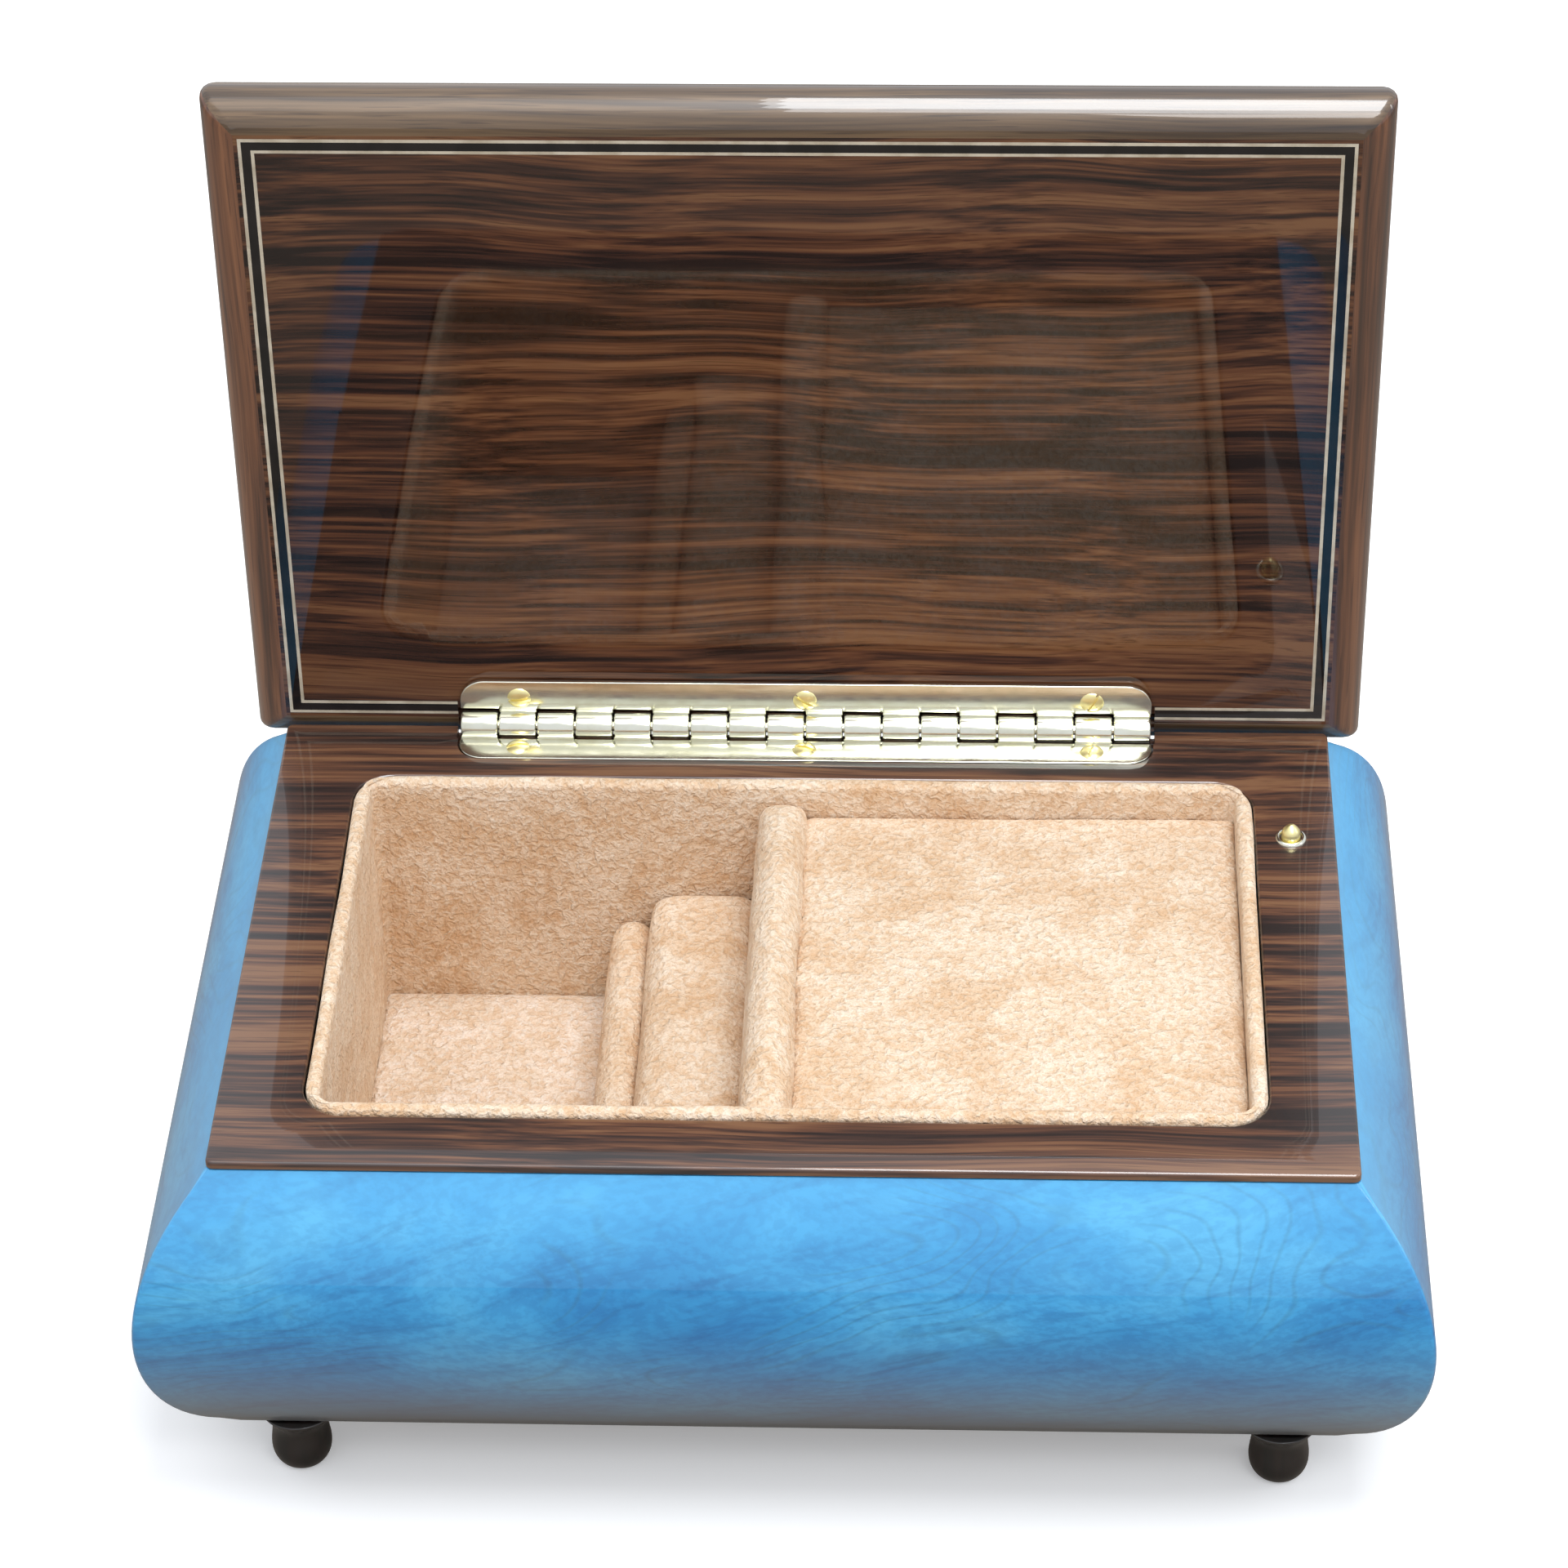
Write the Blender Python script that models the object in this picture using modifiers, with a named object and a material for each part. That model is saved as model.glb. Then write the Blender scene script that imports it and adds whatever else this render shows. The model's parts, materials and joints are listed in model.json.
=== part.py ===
"""Cylinder music box with outward-curved sides, an open hinged lid and a velvet-lined interior.

Run with: blender --background --python part.py
Metres, +Z up, +X to the right, the front faces -Y. The origin is under the middle of the box, on the floor.
"""
import math

import bmesh
import bpy
from mathutils import Matrix, Vector

MM = 0.001
GAP = 0.3 * MM                       # room left between separate pieces

# ---- the case ----
TOP_WIDTH = 180 * MM                 # top frame, left to right
TOP_DEPTH = 114.5 * MM                 # top frame, front to back
FOOT_HEIGHT = 12.5 * MM
BODY_HEIGHT = 55.9 * MM
TOP_Z = FOOT_HEIGHT + BODY_HEIGHT    # upper face of the top frame
BULGE = 12.4 * MM                    # how far the sides curve outward
BULGE_STEPS = 14
WALL = 9 * MM                        # wall thickness behind the curve's chord
FRAME_LIP = 1.3 * MM                 # the part of the top frame that shows above the sides
FRAME_THICKNESS = 5 * MM
FRAME_REBATE = 4 * MM
OPENING_HALF_WIDTH = 76.5 * MM
OPENING_FRONT = -45.6 * MM
OPENING_REAR = 42.6 * MM
OPENING_CORNER = 7 * MM
BOTTOM_THICKNESS = 4 * MM
FOOT_X = 80 * MM
FOOT_Y = 52.4 * MM

# ---- the velvet interior ----
LINING_THICKNESS = 2.6 * MM
LINING_PROUD = 0.8 * MM
LINING_ROUNDING = 1.0 * MM
FLOOR_Z = TOP_Z - 45 * MM            # velvet floor of the deep compartment
LOW_Z = FOOT_HEIGHT + BOTTOM_THICKNESS + GAP
DIVIDER_LEFT = -7.3 * MM
DIVIDER_RIGHT = 0.5 * MM
DIVIDER_TOP = TOP_Z - 1.0 * MM
DIVIDER_ROUNDING = 3.4 * MM
WIDE_ROLL = (-25.9 * MM, -7.6 * MM)
WIDE_ROLL_TOP = TOP_Z - 21 * MM
NARROW_ROLL = (-32.6 * MM, -26.4 * MM)
NARROW_ROLL_TOP = TOP_Z - 27 * MM
ROLL_ROUNDING = 2.8 * MM
COVER_TOP = TOP_Z - 5 * MM           # velvet-covered board over the movement
COVER_THICKNESS = 3 * MM
COVER_ROUNDING = 1.2 * MM
LEDGE_DEPTH = 4 * MM
LEDGE_HEIGHT = 4 * MM
LEDGE_X = (4 * MM, 70 * MM)

# ---- the hinge ----
AXIS_Y = TOP_DEPTH / 2 - 1.0 * MM
AXIS_RISE = 1.8 * MM                 # hinge axis below the closed lid and above the floor of the leaf's mortise
MORTISE = 1.0 * MM                   # depth of the lower leaf's mortise in the top frame
AXIS_Z = TOP_Z + AXIS_RISE - MORTISE
HINGE_HALF = 59.65 * MM
KNUCKLES = 18
KNUCKLE_PITCH = 2 * HINGE_HALF / KNUCKLES
KNUCKLE_RADIUS = 2.5 * MM
KNUCKLE_SIDES = 10
PIN_RADIUS = 0.9 * MM
LOWER_LEAF_WIDTH = 8.4 * MM         # from the hinge axis to the leaf's free edge
UPPER_LEAF_WIDTH = 8.6 * MM
LEAF_THICKNESS = 0.7 * MM
LEAF_CORNER = 4.2 * MM
LEAF_SCREWS_X = (-49.4 * MM, 0.0, 49.4 * MM)
LOWER_SCREW_LINE = 5.3 * MM          # measured from the hinge axis
UPPER_SCREW_LINE = 5.2 * MM
SCREW_HEAD = 2.1 * MM
SCREW_SHANK = 1.1 * MM
SCREW_DEPTH = 4 * MM
SCREW_SLOT = 0.6 * MM

# ---- the lid ----
LID_OPEN_DEG = 90.0
LID_OVERHANG = 5.8 * MM
LID_FRONT_OVERHANG = 8.1 * MM
LID_REAR = 5.3 * MM                  # lid behind the hinge axis
LID_WIDTH = TOP_WIDTH + 2 * LID_OVERHANG
LID_FRONT = AXIS_Y + TOP_DEPTH / 2 + LID_FRONT_OVERHANG
LID_THICKNESS = 11.4 * MM
LID_ROUNDING = 5.6 * MM
STRING_INSET = 6.3 * MM
STRING_WIDTH = 2.6 * MM
STRING_DEPTH = 0.8 * MM

# ---- the stop pin and its lever ----
STOP_X = 82.5 * MM
STOP_Y = 27.5 * MM
STOP_RADIUS = 1.6 * MM
STOP_TIP = 2.9 * MM                  # above the top frame with the lid open
BUSH_RADIUS = 2.6 * MM
BUSH_DEPTH = 4.4 * MM
LEVER_Z = 48 * MM
LEVER_PIVOT_X = 72 * MM
LEVER_HALF = 0.8 * MM
LEVER_PIN_RADIUS = 0.7 * MM

# ---- the movement, under the cover ----
BED_X = (13 * MM, 71 * MM)
BED_Y = (-29 * MM, 26 * MM)
BED_BOTTOM = LOW_Z + GAP
BED_THICKNESS = 3 * MM
BED_TOP = BED_BOTTOM + BED_THICKNESS
BARREL_X = 26 * MM
DRUM_RADIUS = 11 * MM
DRUM_BOTTOM = BED_TOP + 1.2 * MM
DRUM_HEIGHT = 9 * MM
CROWN_TEETH = 24
CROWN_HEIGHT = 1.4 * MM
ARBOR_RADIUS = 2.2 * MM
SHAFT_Y = -2 * MM                    # cylinder shaft, and the barrel below it
PINION_TEETH = 12
PINION_RADIUS = 4 * MM
CROWN_TOP = DRUM_BOTTOM + DRUM_HEIGHT + CROWN_HEIGHT
SHAFT_Z = CROWN_TOP + PINION_RADIUS + GAP
SHAFT_RADIUS = 1.2 * MM
CYLINDER_X = (38 * MM, 61.5 * MM)
CYLINDER_RADIUS = 6.5 * MM
NOTES = 18
CYLINDER_PIN_RADIUS = 0.3 * MM
CYLINDER_PIN_HEIGHT = 0.6 * MM
PIN_STEP_DEG = 137.5                 # turn from one note's pin to the next
COMB_TIP_GAP = 0.25 * MM
COMB_TOOTH_LENGTH = 12 * MM
COMB_BACK = 6.5 * MM
COMB_THICKNESS = 1.2 * MM
COMB_SLOT = 0.35 * MM
WHEEL_X = (62.6 * MM, 64.0 * MM)
WHEEL_TEETH = 24
WHEEL_RADIUS = 8 * MM
BRACKET_X = (65.4 * MM, 67.2 * MM)
GOVERNOR_Y = SHAFT_Y + WHEEL_RADIUS + 4.6 * MM
GOVERNOR_PINION_RADIUS = 4.3 * MM
GOVERNOR_WHEEL_RADIUS = 5.2 * MM
GOVERNOR_WHEEL_X = (58.0 * MM, 59.4 * MM)
FLY_X = 58.7 * MM
FLY_Y = GOVERNOR_Y + GOVERNOR_WHEEL_RADIUS + 1.5 * MM
FLY_TOP = SHAFT_Z + 12 * MM
FLY_RADIUS = 4.4 * MM
KEY_HALF_WIDTH = 10 * MM
KEY_THICKNESS = 2 * MM
KEY_LOW = 1.2 * MM
TURNED_STEPS = 16


def clear_scene():
    for old in list(bpy.data.objects):
        bpy.data.objects.remove(old, do_unlink=True)


def make_collection(name):
    group = bpy.data.collections.new(name)
    bpy.context.scene.collection.children.link(group)
    return group


def make_material(name, color, roughness, metallic=0.0):
    mat = bpy.data.materials.new(name)
    mat.use_nodes = True
    shader = mat.node_tree.nodes["Principled BSDF"]
    shader.inputs["Base Color"].default_value = (*color, 1.0)
    shader.inputs["Roughness"].default_value = roughness
    shader.inputs["Metallic"].default_value = metallic
    return mat


clear_scene()
PARTS = make_collection("music_box")
CUTTERS = make_collection("cutters")

BLUE_ELM = make_material("blue_elm", (0.11, 0.42, 0.78), 0.15)
ROSEWOOD = make_material("rosewood", (0.09, 0.04, 0.025), 0.12)
PLAIN_WOOD = make_material("plain_wood", (0.42, 0.27, 0.15), 0.6)
FOOT_WOOD = make_material("foot_wood", (0.03, 0.018, 0.012), 0.25)
VELVET = make_material("beige_velvet", (0.75, 0.55, 0.36), 0.95)
STRINGING = make_material("stringing", (0.85, 0.82, 0.75), 0.15)
BRASS = make_material("brass", (0.80, 0.62, 0.30), 0.25, 1.0)
STEEL = make_material("steel", (0.62, 0.62, 0.64), 0.3, 1.0)
BLUED_STEEL = make_material("comb_steel", (0.50, 0.51, 0.54), 0.22, 1.0)


# ---- small modelling tools ----
def make_object(name, bm, mat, where=(0, 0, 0), parent=None, group=None):
    """Turns a bmesh into an object at a place, in the parts collection unless told otherwise."""
    mesh = bpy.data.meshes.new(name)
    bm.to_mesh(mesh)
    bm.free()
    if mat is not None:
        mesh.materials.append(mat)
    obj = bpy.data.objects.new(name, mesh)
    obj.location = where
    obj.parent = parent
    (group or PARTS).objects.link(obj)
    return obj


def add_box(bm, low, high):
    """Adds a box between two opposite corners."""
    low = Vector(low)
    high = Vector(high)
    matrix = Matrix.Translation((low + high) / 2) @ Matrix.Diagonal((*(high - low), 1.0))
    return bmesh.ops.create_cube(bm, size=1.0, matrix=matrix)["verts"]


def add_rod(bm, start, end, radius, sides=16, tip_radius=None):
    """Adds a capped cylinder or cone between two points."""
    start = Vector(start)
    end = Vector(end)
    along = end - start
    matrix = Matrix.Translation((start + end) / 2) @ along.to_track_quat("Z", "Y").to_matrix().to_4x4()
    bmesh.ops.create_cone(
        bm,
        cap_ends=True,
        segments=sides,
        radius1=radius,
        radius2=radius if tip_radius is None else tip_radius,
        depth=along.length,
        matrix=matrix,
    )


def bevel_edges(bm, edges, width, segments):
    bmesh.ops.bevel(bm, geom=edges, offset=width, segments=segments, profile=0.5, affect="EDGES")


def upright_edges(bm):
    return [e for e in bm.edges if (e.verts[0].co - e.verts[1].co).xy.length < GAP / 10]


def edges_at_height(bm, height):
    return [e for e in bm.edges if all(abs(v.co.z - height) < GAP / 10 for v in e.verts)]


def rounded_plate(low, high, corner, segments=4):
    """A flat plate whose four upright corners are rounded."""
    bm = bmesh.new()
    add_box(bm, low, high)
    bevel_edges(bm, upright_edges(bm), corner, segments)
    return bm


def boxes(*corners):
    """One mesh holding several boxes, each given by two opposite corners."""
    bm = bmesh.new()
    for low, high in corners:
        add_box(bm, low, high)
    return bm


def rods(*ends, radius, sides=16):
    """One mesh holding several round rods, each given by its two ends."""
    bm = bmesh.new()
    for start, end in ends:
        add_rod(bm, start, end, radius, sides)
    return bm


def as_cutter(name, bm, parent=None, where=(0, 0, 0)):
    """Keeps a shape as a hidden tool for a Boolean modifier."""
    tool = make_object(name, bm, None, where, parent, CUTTERS)
    tool.hide_render = True
    tool.display_type = "WIRE"
    return tool


def combine(obj, tool, operation):
    modifier = obj.modifiers.new(f"{operation.lower()} {tool.name}", "BOOLEAN")
    modifier.operation = operation
    modifier.object = tool
    modifier.solver = "EXACT"


def cut(obj, tool):
    combine(obj, tool, "DIFFERENCE")


def weld_on(obj, tool):
    combine(obj, tool, "UNION")


def soften(obj, width, segments=2):
    """Rounds the sharp edges of an object."""
    modifier = obj.modifiers.new("soft edges", "BEVEL")
    modifier.width = width
    modifier.segments = segments
    modifier.limit_method = "ANGLE"
    modifier.angle_limit = math.radians(50)


def shade_round(obj):
    obj.data.shade_smooth()
    obj.data.set_sharp_from_angle(angle=math.radians(35))


def turned(name, mat, profile, where, parent=None, closed=False, steps=TURNED_STEPS):
    """Turns a profile of (radius, height) points, from the top down, about the upright axis."""
    bm = bmesh.new()
    verts = [bm.verts.new((radius, 0, height)) for radius, height in profile]
    for upper, lower in zip(verts, verts[1:]):
        bm.edges.new((upper, lower))
    if closed:
        bm.edges.new((verts[-1], verts[0]))
    obj = make_object(name, bm, mat, where, parent)
    screw = obj.modifiers.new("turn", "SCREW")
    screw.axis = "Z"
    screw.steps = steps
    screw.render_steps = steps
    screw.use_merge_vertices = True
    screw.merge_threshold = 0.00001
    screw.use_smooth_shade = True
    return obj


def toothed_disc(bm, x_range, centre, radius, teeth, tooth_height):
    """Adds a toothed wheel whose axis runs along X."""
    rim = bmesh.ops.create_circle(bm, cap_ends=True, segments=4 * teeth, radius=radius)["verts"]
    for index, vert in enumerate(rim):
        if index % 4 in (2, 3):
            vert.co *= (radius - tooth_height) / radius
    face = rim[0].link_faces[0]
    turn = Matrix.Rotation(math.radians(90), 4, "Y")
    place = Matrix.Translation((x_range[0], *centre)) @ turn
    bmesh.ops.transform(bm, matrix=place, verts=rim)
    grown = bmesh.ops.extrude_face_region(bm, geom=[face])["geom"]
    new_verts = [item for item in grown if isinstance(item, bmesh.types.BMVert)]
    bmesh.ops.translate(bm, verts=new_verts, vec=(x_range[1] - x_range[0], 0, 0))
    bmesh.ops.recalc_face_normals(bm, faces=bm.faces)


# ---- the curved sides ----
def bulge_profile():
    """The outer curve of a side, as (distance out, height) points from the top down."""
    top = TOP_Z - FRAME_LIP - GAP
    half = (top - FOOT_HEIGHT) / 2
    radius = (half ** 2 + BULGE ** 2) / (2 * BULGE)
    middle = FOOT_HEIGHT + half
    sweep = math.asin(half / radius)
    points = []
    for step in range(BULGE_STEPS + 1):
        angle = sweep - 2 * sweep * step / BULGE_STEPS
        points.append((BULGE - radius + radius * math.cos(angle), middle + radius * math.sin(angle)))
    return points


def make_side(name, half_length, distance, turn_deg):
    """One mitred side: its section is drawn at one end and drawn out to the mirrored other end."""
    shelf = TOP_Z - FRAME_THICKNESS - GAP
    rebate = -FRAME_REBATE + GAP
    section = bulge_profile()
    section += [(-WALL, FOOT_HEIGHT), (-WALL, shelf), (rebate, shelf), (rebate, section[0][1])]
    bm = bmesh.new()
    mitre_gap = GAP / 2
    ring = [bm.verts.new((half_length + out - mitre_gap, -distance - out, z)) for out, z in section]
    end_face = bm.faces.new(ring)
    grown = bmesh.ops.extrude_face_region(bm, geom=[end_face])["geom"]
    for vert in [item for item in grown if isinstance(item, bmesh.types.BMVert)]:
        vert.co.x = -vert.co.x
    bmesh.ops.recalc_face_normals(bm, faces=bm.faces)
    side = make_object(name, bm, BLUE_ELM)
    side.rotation_euler.z = math.radians(turn_deg)
    shade_round(side)
    return side


front_panel = make_side("front_panel", TOP_WIDTH / 2, TOP_DEPTH / 2, 0)
right_panel = make_side("right_panel", TOP_DEPTH / 2, TOP_WIDTH / 2, 90)
rear_panel = make_side("rear_panel", TOP_WIDTH / 2, TOP_DEPTH / 2, 180)
left_panel = make_side("left_panel", TOP_DEPTH / 2, TOP_WIDTH / 2, 270)

hinge_groove = as_cutter(
    "hinge_groove",
    rods(
        ((-HINGE_HALF - 2 * GAP, AXIS_Y, AXIS_Z), (HINGE_HALF + 2 * GAP, AXIS_Y, AXIS_Z)),
        radius=KNUCKLE_RADIUS + 1.5 * GAP,
    ),
)
cut(rear_panel, hinge_groove)

lever_pocket = as_cutter(
    "lever_pocket",
    boxes(
        (
            (TOP_WIDTH / 2 - WALL - 5 * MM, STOP_Y - 3.5 * MM, LEVER_Z - 4 * MM),
            (STOP_X + 4 * MM, STOP_Y + 3.5 * MM, TOP_Z + 1 * MM),
        )
    ),
)
cut(right_panel, lever_pocket)


# ---- the top frame ----
def make_top_frame():
    half_x = TOP_WIDTH / 2
    half_y = TOP_DEPTH / 2
    bm = rounded_plate((-half_x, -half_y, TOP_Z - FRAME_LIP), (half_x, half_y, TOP_Z), 1.2 * MM, 3)
    rim = [e for e in edges_at_height(bm, TOP_Z)]
    bevel_edges(bm, rim, 0.5 * MM, 2)
    frame = make_object("top_frame", bm, ROSEWOOD)
    inner_x = half_x - FRAME_REBATE
    inner_y = half_y - FRAME_REBATE
    low = TOP_Z - FRAME_THICKNESS
    tongue = boxes(((-inner_x, -inner_y, low), (inner_x, inner_y, TOP_Z - FRAME_LIP / 2)))
    weld_on(frame, as_cutter("frame_tongue", tongue))
    opening = rounded_plate(
        (-OPENING_HALF_WIDTH, OPENING_FRONT, low - 1 * MM),
        (OPENING_HALF_WIDTH, OPENING_REAR, TOP_Z + 1 * MM),
        OPENING_CORNER,
        5,
    )
    cut(frame, as_cutter("frame_opening", opening))
    mortise = rounded_plate(
        (-HINGE_HALF - GAP, AXIS_Y - LOWER_LEAF_WIDTH - GAP, TOP_Z - MORTISE),
        (HINGE_HALF + GAP, half_y + 8 * MM, TOP_Z + 1 * MM),
        LEAF_CORNER + GAP,
        5,
    )
    cut(frame, as_cutter("leaf_mortise", mortise))
    cut(frame, hinge_groove)
    bush_hole = rods(
        ((STOP_X, STOP_Y, low - 1 * MM), (STOP_X, STOP_Y, TOP_Z + 1 * MM)),
        radius=BUSH_RADIUS + GAP,
        sides=20,
    )
    cut(frame, as_cutter("bush_hole", bush_hole))
    line = AXIS_Y - LOWER_SCREW_LINE
    holes = [((x, line, low - 1 * MM), (x, line, TOP_Z + 1 * MM)) for x in LEAF_SCREWS_X]
    cut(frame, as_cutter("frame_screw_holes", rods(*holes, radius=SCREW_SHANK + GAP, sides=10)))
    return frame


make_top_frame()


# ---- the bottom board and feet ----
def make_bottom():
    half_x = TOP_WIDTH / 2 - WALL - GAP
    half_y = TOP_DEPTH / 2 - WALL - GAP
    top = FOOT_HEIGHT + BOTTOM_THICKNESS
    board = make_object(
        "bottom_board",
        boxes(((-half_x, -half_y, FOOT_HEIGHT), (half_x, half_y, top))),
        PLAIN_WOOD,
    )
    below = FOOT_HEIGHT - 1 * MM
    above = top + 1 * MM
    key_hole = rods(((BARREL_X, SHAFT_Y, below), (BARREL_X, SHAFT_Y, above)), radius=4.6 * MM, sides=20)
    cut(board, as_cutter("key_hole", key_hole))
    screw_holes = rods(
        *[((x, y, below), (x, y, above)) for x, y in MOVEMENT_SCREWS],
        radius=SCREW_SHANK + GAP,
        sides=10,
    )
    cut(board, as_cutter("board_screw_holes", screw_holes))


MOVEMENT_SCREWS = ((17 * MM, -24 * MM), (17 * MM, 21 * MM), (67 * MM, -24 * MM))
make_bottom()

FOOT_PROFILE = [
    (0.0, FOOT_HEIGHT - GAP),
    (6.4 * MM, FOOT_HEIGHT - GAP),
    (6.1 * MM, 11.4 * MM),
    (5.1 * MM, 10.0 * MM),
    (4.5 * MM, 8.6 * MM),
    (4.5 * MM, 7.0 * MM),
    (4.7 * MM, 5.4 * MM),
    (4.8 * MM, 3.8 * MM),
    (4.5 * MM, 2.1 * MM),
    (3.8 * MM, 0.7 * MM),
    (2.8 * MM, 0.0),
    (0.0, 0.0),
]
for foot_name, side_x, side_y in (
    ("foot_front_left", -1, -1),
    ("foot_front_right", 1, -1),
    ("foot_rear_left", -1, 1),
    ("foot_rear_right", 1, 1),
):
    turned(foot_name, FOOT_WOOD, FOOT_PROFILE, (side_x * FOOT_X, side_y * FOOT_Y, 0))


# ---- the velvet interior ----
LINED_X = OPENING_HALF_WIDTH - GAP
LINED_FRONT = OPENING_FRONT + GAP
LINED_REAR = OPENING_REAR - GAP
ROOM_X = LINED_X - LINING_THICKNESS
ROOM_FRONT = LINED_FRONT + LINING_THICKNESS
ROOM_REAR = LINED_REAR - LINING_THICKNESS


def make_lining():
    """The velvet wall lining, standing a little proud of the top frame."""
    bm = rounded_plate(
        (-LINED_X, LINED_FRONT, LOW_Z),
        (LINED_X, LINED_REAR, TOP_Z + LINING_PROUD),
        OPENING_CORNER - GAP,
        5,
    )
    lining = make_object("velvet_lining", bm, VELVET)
    room = rounded_plate(
        (-ROOM_X, ROOM_FRONT, LOW_Z - 1 * MM),
        (ROOM_X, ROOM_REAR, TOP_Z + 2 * MM),
        OPENING_CORNER - LINING_THICKNESS,
        5,
    )
    cut(lining, as_cutter("lining_room", room))
    slot = boxes(
        (
            (ROOM_X - 1 * MM, STOP_Y - 2.5 * MM, LEVER_Z - 3.5 * MM),
            (LINED_X + 1 * MM, STOP_Y + 2.5 * MM, LEVER_Z + 3.5 * MM),
        )
    )
    cut(lining, as_cutter("lever_slot", slot))
    soften(lining, LINING_ROUNDING)
    lining.modifiers.move(len(lining.modifiers) - 1, 1)
    shade_round(lining)


def velvet_block(name, x_range, z_range, rounding, segments=3, wall_side=0):
    """A velvet-covered block from the front lining to the rear; wall_side marks an end in the corners."""
    bm = boxes(
        (
            (x_range[0], ROOM_FRONT + GAP, z_range[0]),
            (x_range[1], ROOM_REAR - GAP, z_range[1]),
        )
    )
    if wall_side:
        middle = sum(x_range) / 2
        at_wall = [e for e in upright_edges(bm) if (e.verts[0].co.x - middle) * wall_side > 0]
        bevel_edges(bm, at_wall, OPENING_CORNER - LINING_THICKNESS, 5)
    bevel_edges(bm, edges_at_height(bm, z_range[1]), rounding, segments)
    block = make_object(name, bm, VELVET)
    shade_round(block)
    return block


make_lining()
PAD_X = (-ROOM_X + GAP, DIVIDER_LEFT - GAP)
velvet_block("floor_pad", PAD_X, (LOW_Z, FLOOR_Z), 1.5 * MM, 2, wall_side=-1)
velvet_block("ring_roll_wide", WIDE_ROLL, (FLOOR_Z + GAP, WIDE_ROLL_TOP), ROLL_ROUNDING, 4)
velvet_block("ring_roll_narrow", NARROW_ROLL, (FLOOR_Z + GAP, NARROW_ROLL_TOP), ROLL_ROUNDING, 4)
velvet_block("divider", (DIVIDER_LEFT, DIVIDER_RIGHT), (LOW_Z, DIVIDER_TOP), DIVIDER_ROUNDING, 4)
COVER_X = (DIVIDER_RIGHT + GAP, ROOM_X - GAP)
COVER_Z = (COVER_TOP - COVER_THICKNESS, COVER_TOP)
velvet_block("movement_cover", COVER_X, COVER_Z, COVER_ROUNDING, 2, wall_side=1)
LEDGE_Z = (COVER_Z[0] - GAP - LEDGE_HEIGHT, COVER_Z[0] - GAP)
for ledge_name, ledge_y in (
    ("cover_ledge_front", (ROOM_FRONT + GAP, ROOM_FRONT + GAP + LEDGE_DEPTH)),
    ("cover_ledge_rear", (ROOM_REAR - GAP - LEDGE_DEPTH, ROOM_REAR - GAP)),
):
    ledge = boxes(((LEDGE_X[0], ledge_y[0], LEDGE_Z[0]), (LEDGE_X[1], ledge_y[1], LEDGE_Z[1])))
    make_object(ledge_name, ledge, PLAIN_WOOD)


# ---- the hinge and the lid ----
lid_axis = bpy.data.objects.new("lid_axis", None)
lid_axis.location = (0, AXIS_Y, AXIS_Z)
lid_axis.rotation_euler.x = -math.radians(LID_OPEN_DEG)
PARTS.objects.link(lid_axis)

case_axis = bpy.data.objects.new("case_axis", None)
case_axis.location = (0, AXIS_Y, AXIS_Z)
PARTS.objects.link(case_axis)


def knuckle_prism(bm, start, side):
    """One rolled knuckle round the hinge axis, with the tongue that joins it to its leaf."""
    width = KNUCKLE_PITCH - GAP
    leaf_near = side * (AXIS_RISE - GAP)
    leaf_far = side * (AXIS_RISE - GAP - LEAF_THICKNESS)
    tongue_end = -KNUCKLE_RADIUS - 1.2 * MM
    points = [(tongue_end, leaf_far), (tongue_end, leaf_near)]
    near_angle = math.asin(abs(leaf_near) / KNUCKLE_RADIUS)
    far_angle = math.asin(abs(leaf_far) / KNUCKLE_RADIUS)
    sweep = 2 * math.pi - (near_angle - far_angle)
    for step in range(KNUCKLE_SIDES + 1):
        angle = side * (math.pi - near_angle - sweep * step / KNUCKLE_SIDES)
        points.append((KNUCKLE_RADIUS * math.cos(angle), KNUCKLE_RADIUS * math.sin(angle)))
    ring = [bm.verts.new((start, y, z)) for y, z in points]
    face = bm.faces.new(ring)
    grown = bmesh.ops.extrude_face_region(bm, geom=[face])["geom"]
    new_verts = [item for item in grown if isinstance(item, bmesh.types.BMVert)]
    bmesh.ops.translate(bm, verts=new_verts, vec=(width, 0, 0))
    bmesh.ops.recalc_face_normals(bm, faces=bm.faces)


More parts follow.
